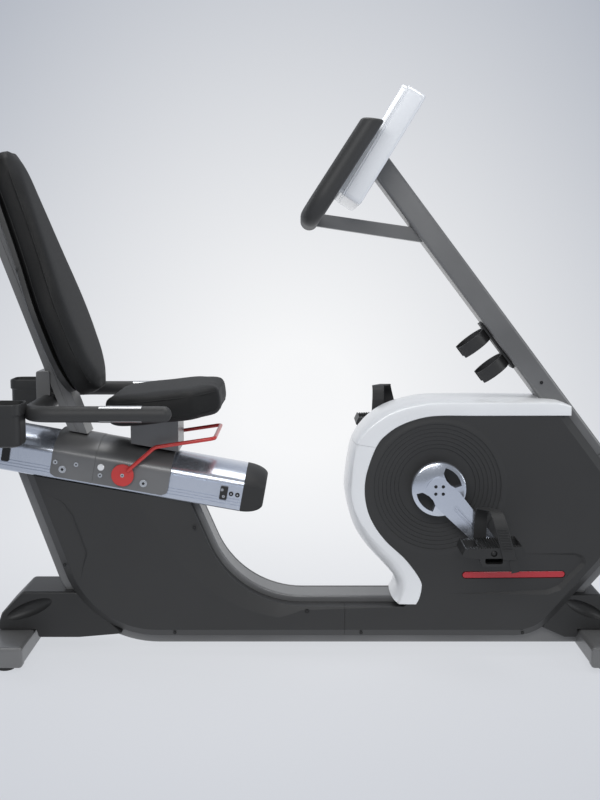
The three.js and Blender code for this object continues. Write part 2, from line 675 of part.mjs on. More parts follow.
function makeStabilizerCovers() {
  const fromRear = (points) => points.map(([x, z]) => [stabilizerX.rear + x, z]);
  const fromFront = (points) => points.map(([x, z]) => [stabilizerX.front + x, z]);
  const outlines = {
    rear: fromRear([[-47, 61], [-33, 102], [18, 155], [150, 155], [252, 60], [260, 50], [156, 41], [55,
      41], [49, 61]]),
    front: fromFront([[-134, 66], [-80, 41], [-49, 41], [-49, 61], [47, 61], [33, 102], [8, 148],
      [-110, 148]]),
  };
  const fill = {
    rear: [...rearOutline(-slidingGap), [seamX, 900], [rearLine[0] - 2, 900]],
    front: [...noseOutline(-slidingGap), [crankX, 900], [crankX, frameBottom - slidingGap]],
  };
  const coverFill = { rear: [...rearOutline(coverInset - 1), [seamX, 900], [rearLine[0] + 30, 900]],
    front: [...noseOutline(coverInset - 1), [crankX, 900], [crankX, frameBottom + coverInset]] };
  for (const end of ["rear", "front"]) {
    const blank = slab(outlines[end], -72, 72, 8, 1);
    const tubes = slab(fill[end], -tubeHalfWidth - meetingGap, tubeHalfWidth + meetingGap);
    const bottomTube = block(rearX + 300, noseX - 115, -tubeHalfWidth - meetingGap,
      tubeHalfWidth + meetingGap,
      frameBottom - meetingGap, 100);
    const cover = cut(blank, tubes, slab(coverFill[end], -200, 200),
      end === "front" ? bottomTube : tubes);
    piece(`${end}_stabilizer_cover`, cover, "blackPlastic");
  }
}

// ---------------------------------------------------------------- console and its handlebar
const hornLow = onConsole(-78, 34);
const hornHigh = onConsole(180, 26);

function makeConsole() {
  const outline = rounded([[-consoleHalfWidth, 0, 26], [consoleHalfWidth, 0, 26], [consoleHalfWidth,
    consoleLength, 34],
    [-consoleHalfWidth, consoleLength, 34]], true, 22);
  const shell = section(outline, consoleThickness, 7, 2);
  const [x, z] = onConsole(0, 0);
  piece("console_housing", solidOf(placed(shell, x, z, 90 - consoleSlope)), "silverPlastic");

  const [bezelX, bezelZ] = onConsole(0, bezelThickness);
  const grown = outline.map(([y, up]) => [y * 0.985,
    consoleLength / 2 + (up - consoleLength / 2) * 0.97]);
  const bezel = solidOf(placed(section(grown, bezelThickness - meetingGap, 3, 1), bezelX, bezelZ,
    90 - consoleSlope));
  const keyPlaces = [-1, 0, 1].map((step) => ({ y: step * keySpacing, up: 34 }));
  const bores = keyPlaces.map(({ y, up }) => {
    const bore = new THREE.CylinderGeometry(keyRadius + slidingGap, keyRadius + slidingGap, 60, 12);
    bore.rotateX(Math.PI / 2).translate(y, up, 0);
    return solidOf(placed(bore, bezelX, bezelZ, 90 - consoleSlope));
  });
  piece("console_bezel", cut(bezel, ...bores), "blackPlastic");
  keyPlaces.forEach(({ y, up }, index) => {
    const key = turnedPart([[0, 0], [keyRadius - 1, 0], [keyRadius, 1], [keyRadius, 12], [0, 12]], 12);
    key.translate(y, up, -3);
    piece(`console_key_${["right", "middle", "left"][index]}`,
      solidOf(placed(key, bezelX, bezelZ, 90 - consoleSlope)), "castSteel");
  });
}

const hornCorners = (span) => [
  { at: [hornHigh[0], -span, hornHigh[1]] }, { at: [hornLow[0], -span, hornLow[1]], bend: 62 },
  { at: [hornLow[0], span, hornLow[1]], bend: 62 }, { at: [hornHigh[0], span, hornHigh[1]] },
];

function makeHandlebar() {
  piece("console_handlebar", bentRod(hornCorners(hornHalfSpan), hornRadius, 12, 4), "blackRubber");
  const clearBar = hole(hornRadius + meetingGap, ...hornLow, -120, 120);
  const [x, z] = hornLow;
  const arm = slab([[x + 12, z + 14], [x + 300, z - 23], [x + 300, z - 57], [x + 12, z - 17]], -25, 25,
    3);
  piece("handlebar_bracket", cut(arm, clearBar, mastPrism(meetingGap, 100, mastLength + 242)),
    "greyPaint");
}

// ---------------------------------------------------------------- bottle holder
const onMastBack = (distance, out) => {
  const [x, z] = onMastFront(distance);
  return [x - (mastDepth + out) * Math.sin(rad(mastSlope)),
    z - (mastDepth + out) * Math.cos(rad(mastSlope))];
};
const bottleRingPlaces = [508, 508 + bottlePitch];

function makeBottleHolder() {
  const centreOut = 4 + bottleRingOuter;
  const ringPoints = (radius, from, to, steps) => Array.from({ length: steps + 1 }, (_, i) => {
    const angle = rad(from + ((to - from) * i) / steps);
    return [radius * Math.cos(angle), -centreOut + radius * Math.sin(angle)];
  });
  const arc = [...ringPoints(bottleRingOuter, -55, 235, 12),
    ...ringPoints(bottleRingOuter - bottleRingWall, -55, 235, 12).reverse()];
  const rings = bottleRingPlaces.map((distance) => solidOf(
    placed(section(arc, bottleBand), ...onMastBack(distance + bottleBand, 0), mastSlope)));
  const plateLow = bottleRingPlaces[0] - 14;
  const plateHigh = bottleRingPlaces[1] + bottleBand + 14;
  const plate = solidOf(placed(section([[-22, -7], [22, -7], [22, -meetingGap], [-22, -meetingGap]],
    plateHigh - plateLow),
    ...onMastBack(plateHigh, 0), mastSlope));
  piece("bottle_holder", add(plate, ...rings), "blackPlastic");
}

// ---------------------------------------------------------------- crank, pedals and drive
const crankEnd = (angle) => [crankX + crankLength * Math.cos(rad(angle)),
  crankHeight + crankLength * Math.sin(rad(angle))];

function makeCrank(sideName, side, angle) {
  const span = (inner, outer) => (side < 0 ? [-outer, -inner] : [inner, outer]);
  const disc = bar(crankDiscRadius, crankX, crankHeight, ...span(crankInnerFace, crankOuterFace - 6), 30);
  const along = (s, n) => {
    const [x, z] = turned(s, n, angle);
    return [crankX + x, crankHeight + z];
  };
  const armOutline = rounded([[-30, -34, 30], [40, -33, 20], [crankLength + 20, -20, 19],
    [crankLength + 20, 20, 19],
    [40, 33, 20], [-30, 34, 30]].map(([s, n, r]) => [...along(s, n), r]), true, 26);
  const arm = slab(armOutline, ...span(crankInnerFace + 4, crankOuterFace));
  const windows = [-1, 1].map((half) => {
    const edge = Array.from({ length: 6 }, (_, i) => {
      const turn = half * (52 + (i * 76) / 5);
      return along(54 * Math.cos(rad(turn)), 54 * Math.sin(rad(turn)));
    });
    return slab(edge, -200, 200);
  });
  const slotOutline = rounded([[52, -7, 6.5], [crankLength - 26, -5.5, 5], [crankLength - 26, 5.5, 5],
    [52, 7, 6.5]]
    .map(([s, n, r]) => [...along(s, n), r]), true, 30);
  const slot = slab(slotOutline, ...span(crankOuterFace - 7, crankOuterFace + 5));
  const [endX, endZ] = crankEnd(angle);
  const spindle = bar(spindleRadius, endX, endZ, ...span(crankOuterFace - 10, pedalOuter - 6), 12);
  const bore = hole(axleRadius + meetingGap, crankX, crankHeight, ...span(crankInnerFace - 5,
    crankOuterFace - 10), 14);
  const armPlate = cut(arm, ...windows, slot);
  piece(`crank_${sideName}`, cut(add(cut(disc, ...windows), armPlate, spindle), bore), "polishedAlloy");
}

function makePedal(sideName, side, angle) {
  const [x, z] = crankEnd(angle);
  const low = side < 0 ? -pedalOuter : pedalInner;
  const high = side < 0 ? -pedalInner : pedalOuter;
  const outline = [[-pedalHalfLength, -9], [-32, -12], [-27, -31], [27, -31], [32, -12],
    [pedalHalfLength, -4],
    [pedalHalfLength + 2, 8], [pedalHalfLength - 4, 16], [24, 13], [-24, 11], [-pedalHalfLength + 4, 10],
    [-pedalHalfLength - 2, 2]].map(([dx, dz]) => [x + dx, z + dz]);
  const blank = slab(outline, low, high, 2);
  const sideGaps = [-48, 48].map((dx) => block(x + dx - 15, x + dx + 15, low + 18, high - 18, z - 80,
    z + 80));
  const pedal = cut(blank, hole(spindleRadius + slidingGap, x, z, -400, 400, 12), ...sideGaps);
  piece(`pedal_${sideName}`, pedal, "blackPlastic");

  const middle = (low + high) / 2;
  const [strapHalf, strapTop, wall] = [(high - low) / 2 + 4, 92, 3.5];
  const arch = (inset) => rounded([[-strapHalf + inset, -14, 0], [-strapHalf + inset, strapTop - inset,
    42 - inset],
    [strapHalf - inset, strapTop - inset, 42 - inset], [strapHalf - inset, -14, 0]], false, 20);
  const strapOutline = [...arch(0), ...arch(wall).reverse()].map(([y, h]) => [y + middle, h]);
  const strap = placed(section(strapOutline, 36), x - 18, z, 0);
  const spindleHole = hole(spindleRadius + slidingGap, x, z, -400, 400, 12);
  piece(`strap_${sideName}`, cut(solidOf(strap), spindleHole), "blackRubber");
}

const flywheelX = noseX - 272;
const flywheelZ = 300;

const runGap = slidingGap + meetingGap; // the loop's flats lie inside the pulleys' rims by less

// the belt's outline round the two pulleys, `grow` outside the pulleys' rims
function beltLoop(grow) {
  const wheels = [[crankX, crankHeight, drivePulleyRadius + grow], [flywheelX, flywheelZ,
    flywheelPulleyRadius + grow]];
  const [dx, dz] = [wheels[1][0] - wheels[0][0], wheels[1][1] - wheels[0][1]];
  const heading = Math.atan2(dz, dx);
  const lean = Math.acos((wheels[0][2] - wheels[1][2]) / Math.hypot(dx, dz));
  const round = ([x, z, radius], from, to, steps) => Array.from({ length: steps + 1 }, (_, i) => {
    const angle = from + ((to - from) * i) / steps;
    return [x + radius * Math.cos(angle), z + radius * Math.sin(angle)];
  });
  return [...round(wheels[0], heading + lean, heading + 2 * Math.PI - lean, 20),
    ...round(wheels[1], heading - lean, heading + lean, 6)];
}

function makeDrive() {
  piece("crank_axle", bar(axleRadius, crankX, crankHeight, -crankOuterFace + 12, crankOuterFace - 12,
    14), "castSteel");
  const pulley = bar(drivePulleyRadius, crankX, crankHeight, beltInner - 3, beltOuter + 3, 30);
  const spokes = [0, 1, 2, 3, 4].map((i) => {
    const angle = rad(72 * i + 20);
    return bar(24, crankX + 56 * Math.cos(angle), crankHeight + 56 * Math.sin(angle), 0, 200, 8);
  });
  const pulleyBore = hole(axleRadius + meetingGap, crankX, crankHeight, 0, 200, 14);
  piece("drive_pulley", cut(pulley, ...spokes, pulleyBore), "blackPlastic");

  const wheel = turnedPart([[0, -44], [8, -44], [8, -flywheelHalfWidth + 8], [flywheelRadius - 22,
    -flywheelHalfWidth + 8],
    [flywheelRadius - 18, -flywheelHalfWidth], [flywheelRadius, -flywheelHalfWidth], [flywheelRadius,
      flywheelHalfWidth],
    [flywheelRadius - 18, flywheelHalfWidth], [flywheelRadius - 22, flywheelHalfWidth - 8], [8,
      flywheelHalfWidth - 8],
    [8, beltInner - 3], [flywheelPulleyRadius, beltInner - 3], [flywheelPulleyRadius, beltOuter + 3],
      [0, beltOuter + 3]], 30);
  const flywheel = piece("flywheel", wheel, "castSteel");
  flywheel.rotation.x = -Math.PI / 2;
  flywheel.position.set(flywheelX, 0, flywheelZ);

  const earHalf = 26;
  const yokeFoot = frameBottom + tubeDepth + meetingGap;
  const foot = block(flywheelX - earHalf, flywheelX + earHalf, -40, 40, yokeFoot, yokeFoot + 6);
  const ears = [[-40, -32], [32, 40]].map(([y0, y1]) => add(
    block(flywheelX - earHalf, flywheelX + earHalf, y0, y1, yokeFoot, flywheelZ),
    bar(earHalf, flywheelX, flywheelZ, y0, y1, 14)));
  piece("flywheel_yoke", cut(add(foot, ...ears), hole(8 + slidingGap, flywheelX, flywheelZ, -60, 60,
    12)), "castSteel");

  const arcPoints = (radius, from, to) => Array.from({ length: 9 }, (_, i) => {
    const angle = rad(from + ((to - from) * i) / 8);
    return [flywheelX + radius * Math.cos(angle), flywheelZ + radius * Math.sin(angle)];
  });
  const magnets = slab([...arcPoints(flywheelRadius + 3, 190, 238), ...arcPoints(flywheelRadius + 17,
    190, 238).reverse()],
    -flywheelHalfWidth, flywheelHalfWidth);
  const magnetX = flywheelX + (flywheelRadius + 10) * Math.cos(rad(214));
  const leg = block(magnetX - 9, magnetX + 9, -15, 15, yokeFoot,
    flywheelZ + (flywheelRadius + 11) * Math.sin(rad(214)));
  piece("brake_magnets", cut(add(magnets, leg), hole(flywheelRadius + 3, flywheelX, flywheelZ, -60, 60,
    30)), "castSteel");

  const belt = cut(slab(beltLoop(runGap + beltThickness), beltInner, beltOuter), slab(beltLoop(runGap),
    0, 200));
  piece("drive_belt", belt, "blackRubber");

  const [ix, iz] = idlerOnBelt();
  const idler = turnedPart([[0, 50], [idlerRadius, 50], [idlerRadius, beltOuter + 2], [0,
    beltOuter + 2]], 16);
  const idlerMesh = piece("idler_pulley", idler, "blackPlastic");
  idlerMesh.rotation.x = -Math.PI / 2;
  idlerMesh.position.set(ix, 0, iz);
}

// the idler presses on the outside of the belt's upper run, halfway between the pulleys
function idlerOnBelt() {
  const loop = beltLoop(runGap + beltThickness);
  const start = loop[0];
  const end = loop[loop.length - 1];
  const length = Math.hypot(end[0] - start[0], end[1] - start[1]);
  const out = idlerRadius + meetingGap;
  const normal = [-(end[1] - start[1]) / length, (end[0] - start[0]) / length];
  return [(start[0] + end[0]) / 2 + normal[0] * out, (start[1] + end[1]) / 2 + normal[1] * out];
}

// ---------------------------------------------------------------- seat, on its carriage
const carriageTop = railHeight + carriageGap + carriageWall;

function carriageArch(grow, bottom) {
  return archOutline(railHalfWidth + grow, railSideHeight, railHeight + grow, bottom);
}

const onBackrest = (up, ahead) => {
  const [x, z] = turned(up, -ahead, 180 - backrestSlope);
  return [backFoot[0] + x, backFoot[1] + z];
};
const backFoot = [railFrontX - 366, 682];
const handleRear = backFoot[0] - 95;

function makeCarriage() {
  const outer = railPrism(carriageArch(carriageGap + carriageWall, 7), carriageRear, carriageFront);
  const inner = railPrism(carriageArch(carriageGap, -50), carriageRear - 5, carriageFront + 5);
  const [pinX, pinZ] = leverPivot;
  const pinHole = hole(leverRodRadius + slidingGap, pinX, pinZ, -200, 200, 10);
  piece("seat_carriage", cut(outer, inner, pinHole), "greyPaint");
  for (const [sideName, side] of [["right", -1], ["left", 1]]) {
    const inside = railHalfWidth + slidingGap;
    const outside = railHalfWidth + carriageGap - meetingGap;
    const corners = [[carriageRear + 8, 14], [carriageFront - 8, 14], [carriageFront - 8, 34],
      [carriageRear + 8, 34]];
    const pad = slab(corners.map(([s, h]) => onRail(s, h)), side < 0 ? -outside : inside,
      side < 0 ? -inside : outside);
    piece(`glide_pad_${sideName}`, pad, "blackPlastic");
  }
}

function makeSeat() {
  const front = 118;
  const outline = rounded([[-seatHalfWidth + 14, -front, 55], [0, -front - 22, 260],
    [seatHalfWidth - 14, -front, 55],
    [seatHalfWidth, 128, 48], [-seatHalfWidth, 128, 48]], true, 20);
  const pad = section(outline, seatThickness, 18, 2);
  piece("seat_pad", solidOf(placed(pad, seatMiddle[0], seatMiddle[1], -90 - seatTilt)), "blackVinyl");
  const low = onRail(-278, carriageTop + meetingGap);
  const lowFront = onRail(-166, carriageTop + meetingGap);
  const under = (x) => seatMiddle[1] + (x - seatMiddle[0]) * Math.tan(rad(seatTilt)) - meetingGap;
  const bracket = slab([low, lowFront, [lowFront[0] - 8, under(lowFront[0] - 8)], [low[0] - 4,
    under(low[0] - 4)]], -66, 66, 2);
  const bracketBore = slab([onRail(-274, 0), onRail(-170, 0), [lowFront[0] - 12,
    under(lowFront[0] - 12) - tubeWall],
    [low[0], under(low[0]) - tubeWall]], -62, 62);
  piece("seat_bracket", cut(bracket, bracketBore), "greyPaint");
}
const seatMiddle = [railFrontX - 176, 580];

function makeBackrest() {
  const widths = [[-46, 60], [-34, 92], [-4, 130], [40, 158], [110, 168], [190, 163], [310, 124], [430,
    98], [500, 88],
    [540, 74], [556, 50]];
  const outline = [...widths.map(([up, half]) => [half, up]), ...widths.slice().reverse().map(([up,
    half]) => [-half, up])];
  const [x, z] = onBackrest(0, -32);
  piece("backrest_pad", solidOf(placed(section(outline, backPadThickness, 14, 2), x, z,
    -(90 - backrestSlope))), "blackVinyl");
  const shellBack = -32 - meetingGap - backShellThickness;
  const [sx, sz] = onBackrest(0, shellBack);
  const shellOutline = outline.map(([y, up]) => [y * 0.94, 255 + (up - 255) * 0.96]);
  piece("backrest_shell", solidOf(placed(section(shellOutline, backShellThickness), sx, sz,
    -(90 - backrestSlope))), "blackPlastic");

  const postFront = shellBack - meetingGap;
  const profile = [onBackrest(-190, postFront), onBackrest(420, postFront), onBackrest(420,
    postFront - postDepth),
    onBackrest(-190, postFront - postDepth)];
  const onCarriage = slab([onRail(-900, carriageTop + meetingGap), onRail(0, carriageTop + meetingGap),
    onRail(0, 2000),
    onRail(-900, 2000)], -300, 300);
  const boreBack = postFront - postDepth + tubeWall;
  const postBore = slab([onBackrest(-300, postFront - tubeWall), onBackrest(410, postFront - tubeWall),
    onBackrest(410, boreBack), onBackrest(-300, boreBack)], -postHalfWidth + tubeWall,
      postHalfWidth - tubeWall);
  const post = keep(cut(slab(profile, -postHalfWidth, postHalfWidth, 5), postBore), onCarriage);
  const crossbar = hole(handleRadius + meetingGap, handleRear, handleHeight, -300, 300);
  piece("backrest_post", cut(post, crossbar), "greyPaint");
}

function makeSideHandles() {
  const front = handleRear + handleLength;
  const corners = [
    { at: [front, -handleHalfSpan, handleHeight] },
    { at: [handleRear, -handleHalfSpan, handleHeight], bend: handleBend },
    { at: [handleRear, handleHalfSpan, handleHeight], bend: handleBend },
    { at: [front, handleHalfSpan, handleHeight] },
  ];
  piece("side_handlebar", bentRod(corners, handleRadius, 12, 4), "blackRubber");

  // a saddle behind the crossbar that bolts it to the post
  const gap = handleRadius + meetingGap;
  const saddle = slab([[handleRear - 24, handleHeight - 30], [handleRear + 10, handleHeight - 30],
    [handleRear + 10, handleHeight + 72], [handleRear - 2, handleHeight + 78], [handleRear - 24,
      handleHeight + 66]], -48, 48, 4);
  const postClear = slab([onBackrest(-300, 0), onBackrest(500, 0), onBackrest(500,
    -32 - 2 * meetingGap - backShellThickness
    - postDepth - meetingGap), onBackrest(-300,
      -32 - 2 * meetingGap - backShellThickness - postDepth - meetingGap)], -100, 100);
  const clamp = cut(saddle, hole(gap, handleRear, handleHeight, -100, 100), postClear);
  piece("handlebar_clamp", clamp, "greyPaint");

  for (const [sideName, side] of [["right", -1], ["left", 1]]) {
    const inner = handleHalfSpan - trayWidth / 2;
    const outer = handleHalfSpan + trayWidth / 2;
    const frontX = handleRear - 1;
    const rim = [[frontX, outer, 22], [frontX - trayLength, outer, 30], [frontX - trayLength, inner, 30],
      [frontX - handleRadius - 15.5, inner, 10], [frontX - handleRadius - 3.5, inner + 3, 10], [frontX,
        handleHalfSpan + handleRadius - 14.5, 10]];
    const plan = rounded(rim.map(([x, y, r]) => [x, side * y, r]), true, 30);
    const middleX = frontX - trayLength / 2;
    const shrunk = plan.map(([x, y]) => [middleX + (x - middleX) * (1 - (2 * trayWall) / trayLength),
      side * handleHalfSpan + (y - side * handleHalfSpan) * (1 - (2 * trayWall) / trayWidth)]);
    const low = handleHeight + 26 - trayDepth;
    const upright = (points, from, to) => solidOf(new THREE.ExtrudeGeometry(shapeOf(points),
      { depth: to - from, bevelEnabled: false }).translate(0, 0, from));
    const tray = cut(upright(plan, low, low + trayDepth), upright(shrunk, low + trayWall,
      low + trayDepth + 5));
    piece(`tray_${sideName}`, tray, "blackPlastic");
  }
}

// ---------------------------------------------------------------- release lever
const leverPivot = onRail(-286, 40);

function makeLever() {
  const [x, z] = leverPivot;
  const corners = (span) => [
    { at: [x, -span, z] }, { at: [x + 78, -span, z + 68], bend: 8 }, { at: [x + 219, -span, z + 89],
      bend: 14 },
    { at: [x + 219, span, z + 89], bend: 14 }, { at: [x + 78, span, z + 68], bend: 8 }, { at: [x, span,
      z] },
  ];
  const outside = railHalfWidth + carriageGap + carriageWall + slidingGap;
  const parts = [bentRod(corners(leverHalfSpan), leverRodRadius, 8, 2)];
  for (const side of [-1, 1]) {
    const span = (from, to) => (side < 0 ? [-to, -from] : [from, to]);
    parts.push(bar(leverDiscRadius, x, z, ...span(outside, leverHalfSpan - 1), 20));
    parts.push(bar(leverRodRadius, x, z, ...span(railHalfWidth + slidingGap, outside + 1), 10));
  }
  piece("release_lever", add(...parts), "redPaint");
}

// ---------------------------------------------------------------- the whole bike
makeRail();
makeTubes();
makeCovers();
makeShrouds();
makeStabilizers();
makeStabilizerCovers();
makeConsole();
makeHandlebar();
makeBottleHolder();
makeCrank("right", -1, crankAngle);
makeCrank("left", 1, crankAngle + 180);
makePedal("right", -1, crankAngle);
makePedal("left", 1, crankAngle + 180);
makeDrive();
makeCarriage();
makeSeat();
makeBackrest();
makeSideHandles();
makeLever();

const bike = new THREE.Group();
for (const mesh of Object.values(meshes)) {
  bike.add(mesh);
}
const extent = new THREE.Box3().setFromObject(bike, true);
bike.position.x = -(extent.min.x + extent.max.x) / 2;

export default bike;
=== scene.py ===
# %% [markdown]
# # A recumbent exercise bike
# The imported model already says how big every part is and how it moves. This lesson gives each part its
# looks. Most pieces are drawn as a line or a section in millimetres and swept, turned or filled, because
# tubes, mouldings and castings are made that way too. Each finished piece then stands for its plain node.

import json
import math

import bmesh
import bpy
from mathutils import Matrix, Vector, geometry


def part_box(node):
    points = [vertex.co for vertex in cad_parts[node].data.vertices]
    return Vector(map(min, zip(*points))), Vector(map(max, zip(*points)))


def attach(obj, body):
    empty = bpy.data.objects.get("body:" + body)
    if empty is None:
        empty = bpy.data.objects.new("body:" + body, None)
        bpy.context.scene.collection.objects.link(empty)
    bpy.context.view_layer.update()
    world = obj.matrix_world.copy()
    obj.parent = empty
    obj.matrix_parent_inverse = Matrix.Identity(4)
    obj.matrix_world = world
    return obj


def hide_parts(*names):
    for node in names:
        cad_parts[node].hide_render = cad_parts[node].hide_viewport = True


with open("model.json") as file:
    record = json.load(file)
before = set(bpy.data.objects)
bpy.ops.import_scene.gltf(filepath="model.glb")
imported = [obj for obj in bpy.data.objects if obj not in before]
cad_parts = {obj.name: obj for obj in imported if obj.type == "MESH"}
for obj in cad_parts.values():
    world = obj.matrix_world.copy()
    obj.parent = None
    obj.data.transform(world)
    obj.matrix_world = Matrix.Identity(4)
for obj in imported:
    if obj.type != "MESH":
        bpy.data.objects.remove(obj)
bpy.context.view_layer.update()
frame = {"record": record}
scene = bpy.context.scene
scene.view_settings.view_transform = "Standard"
MM = 0.001
NOSE_X = 795
SIDES = ((-1, "right"), (1, "left"))
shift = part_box("nose_tube")[1].x - NOSE_X * MM
body_of = {n: b for b, names in frame["record"]["behaviour"]["bodies"].items() for n in names}
print("drawings move", round(shift / MM, 3), "mm along X;", len(body_of), "nodes")

# %% [markdown]
# ## Lines in the side plane
# Nearly every part is drawn in side view. A line is a list of (x, z) points. Round corners and parallel
# lines are all the drafting this bike needs, so a few small helpers replace a drawing program.

# %% Round corners and parallel lines
def rounded(corners, closed=False, step=4):
    points = []
    for i, corner in enumerate(corners):
        x, z, radius = (*corner, 0)[:3]
        if not radius or (not closed and i in (0, len(corners) - 1)):
            points.append((x, z))
            continue
        here = Vector((x, z))
        back = (Vector(corners[i - 1][:2]) - here).normalized()
        ahead = (Vector(corners[(i + 1) % len(corners)][:2]) - here).normalized()
        half = back.angle(ahead) / 2
        middle = here + (back + ahead).normalized() * radius / math.sin(half)
        start = here + back * radius / math.tan(half) - middle
        turn = (math.pi - 2 * half) * math.copysign(1, ahead.x * back.y - ahead.y * back.x)
        steps = max(3, math.ceil(abs(turn) / math.radians(step)))
        points += [tuple(middle + Matrix.Rotation(turn * k / steps, 2) @ start) for k in range(steps + 1)]
    return points


def inset(points, distance):
    """The line moved to its left by a distance, or by one distance for each point."""
    amounts = distance if isinstance(distance, list) else [distance] * len(points)
    places = [Vector(p) for p in points]
    moved = []
    for i, here in enumerate(places):
        before, after = max(i - 1, 0), min(i, len(places) - 2)
        inward = (places[before + 1] - places[before]).normalized()
        outward = (places[after + 1] - places[after]).normalized()
        along = (inward + outward).normalized()
        amount = amounts[i] / max(along.dot(outward), 0.5)
        moved.append((here.x - along.y * amount, here.y + along.x * amount))
    return moved


def along_line(points, count):
    """A smooth line through the points, as `count` points at even distances."""
    places = [Vector(p) for p in points]
    ends = [2 * places[0] - places[1], *places, 2 * places[-1] - places[-2]]
    fine = []
    for a, b, c, d in zip(ends, ends[1:], ends[2:], ends[3:]):
        for t in [k / 12 for k in range(12)]:
            fine.append(0.5 * ((2 * b) + (c - a) * t + (2 * a - 5 * b + 4 * c - d) * t ** 2
                               + (3 * b - a - 3 * c + d) * t ** 3))
    fine.append(places[-1])
    lengths = [0]
    for p, q in zip(fine, fine[1:]):
        lengths.append(lengths[-1] + (q - p).length)
    even, k = [], 0
    for i in range(count):
        want = lengths[-1] * i / (count - 1)
        while k < len(fine) - 2 and lengths[k + 1] < want:
            k += 1
        share = (want - lengths[k]) / max(lengths[k + 1] - lengths[k], 1e-9)
        even.append(tuple(fine[k].lerp(fine[k + 1], share)))
    return even


def heading(angle):
    return math.cos(math.radians(angle)), math.sin(math.radians(angle))


def circle(sides):
    """The cosine and sine at each even step round a circle."""
    return [(math.cos(a), math.sin(a)) for a in (2 * math.pi * k / sides for k in range(sides))]


def at(point, y=0):
    """A point of the side plane, set at y across the bike."""
    return point[0], y, point[1]


def placed(x, y, z):
    """A place in the drawing's millimetres as the scene's metres; `drawn` goes the other way."""
    return x * MM + shift, y * MM, z * MM


def drawn(place):
    return Vector(((place.x - shift) / MM, place.y / MM, place.z / MM))


print("a round corner has", len(rounded([(0, 0), (10, 0, 3), (10, 10)])), "points")

# %% [markdown]
# ## From lines to meshes
# A sweep carries a section along a line, a plate gives an outline its thickness, and a turned piece spins
# a profile about an axis. All of them are rings of points joined by quads, so one function, `loft`, makes
# the mesh and the others only place its rings. Doubles are merged and the faces turned outwards at once.

# %% Rings, sweeps, plates and turned pieces
def make(name, verts, faces):
    mesh = bpy.data.meshes.new(name)
    mesh.from_pydata([placed(*place) for place in verts], [], faces)
    obj = bpy.data.objects.new(name, mesh)
    scene.collection.objects.link(obj)
    work = bmesh.new()
    work.from_mesh(mesh)
    bmesh.ops.remove_doubles(work, verts=work.verts, dist=0.00001)
    bmesh.ops.recalc_face_normals(work, faces=work.faces)
    work.to_mesh(mesh)
    work.free()
    return obj


def quads(first, second, count, closed=True):
    """Quads between two rows of points, given each row's first index."""
    return [(first + i, first + (i + 1) % count, second + (i + 1) % count, second + i)
            for i in range(count if closed else count - 1)]


def loft(name, rings, caps=True, round_section=True):
    count = len(rings[0])
    verts = [p for ring in rings for p in ring]
    faces = []
    for r in range(len(rings) - 1):
        faces += quads(r * count, (r + 1) * count, count, round_section)
    if caps:
        faces.append(tuple(range(count)))
        faces.append(tuple(range(len(verts) - count, len(verts))))
    return make(name, verts, faces)


def sweep(name, path, section):
    """`section` is (y, n) points: y to the bike's left, n to the left of the path."""
    lines = [inset(path, n) for _, n in section]
    return loft(name, [[at(line[i], y) for (y, _), line in zip(section, lines)] for i in range(len(path))])


def plate(name, outline, y0, y1):
    return loft(name, [[at(p, y) for p in outline] for y in (y0, y1)])


def turned(name, profile, origin, axis, sides=48):
    """`profile` is (radius, height) points, height measured along the axis from the origin."""
    turn = Vector(axis).to_track_quat("Z", "Y").to_matrix()
    rings = []
    for radius, height in profile:
        wide = max(radius, 0.01)
        ring = [turn @ Vector((wide * c, wide * s, height)) for c, s in circle(sides)]
        rings.append([tuple(Vector(origin) + p) for p in ring])
    return loft(name, rings)


def rod(name, corners, radius, sides=24, domes=False):
    """A round bar through (x, y, z, bend) corners; a curve starts `bend` away from its corner."""
    line = [Vector(corners[0][:3])]
    for i in range(1, len(corners) - 1):
        here, bend = Vector(corners[i][:3]), corners[i][3]
        start = here + (Vector(corners[i - 1][:3]) - here).normalized() * bend
        end = here + (Vector(corners[i + 1][:3]) - here).normalized() * bend
        line += [start.lerp(here, t).lerp(here.lerp(end, t), t) for t in (k / 10 for k in range(11))]
    line.append(Vector(corners[-1][:3]))
    radii = [radius] * len(line)
    if domes:
        first, last = (line[1] - line[0]).normalized(), (line[-1] - line[-2]).normalized()
        shares = [1, 0.97, 0.9, 0.75, 0.55, 0.3, 0]
        line = [line[0] + first * radius * (1 - s) for s in shares] + line[1:-1] + [
            line[-1] - last * radius * (1 - s) for s in shares[::-1]]
        caps = [radius * math.sqrt(max(1 - s * s, 0.0004)) for s in shares]
        radii = caps + [radius] * (len(line) - 14) + caps[::-1]
    side, rings = Vector((0, 0, 1)), []
    for i, here in enumerate(line):
        along = (line[min(i + 1, len(line) - 1)] - line[max(i - 1, 0)]).normalized()
        side = (side - along * side.dot(along)).normalized()
        across = along.cross(side)
        rings.append([tuple(here + (side * c + across * s) * radii[i]) for c, s in circle(sides)])
    return loft(name, rings)


# %% [markdown]
# ## Finishing a mesh
# Moulded and machined edges are never perfectly sharp: a thin bevel catches the light there. Weighted
# normals keep the big faces flat beside it. Holes and slots are cut with exact booleans, as a mill would.

# %% Bevel, cut, trim and hand over
def bake(obj):
    evaluated = obj.evaluated_get(bpy.context.evaluated_depsgraph_get())
    mesh = bpy.data.meshes.new_from_object(evaluated)
    obj.modifiers.clear()
    obj.data = mesh
    return obj


def bevelled(obj, width, segments=2, angle=32):
    bevel = obj.modifiers.new("edges", "BEVEL")
    bevel.width = width * MM
    bevel.segments = segments
    bevel.limit_method = "ANGLE"
    bevel.angle_limit = math.radians(angle)
    return bake(obj)


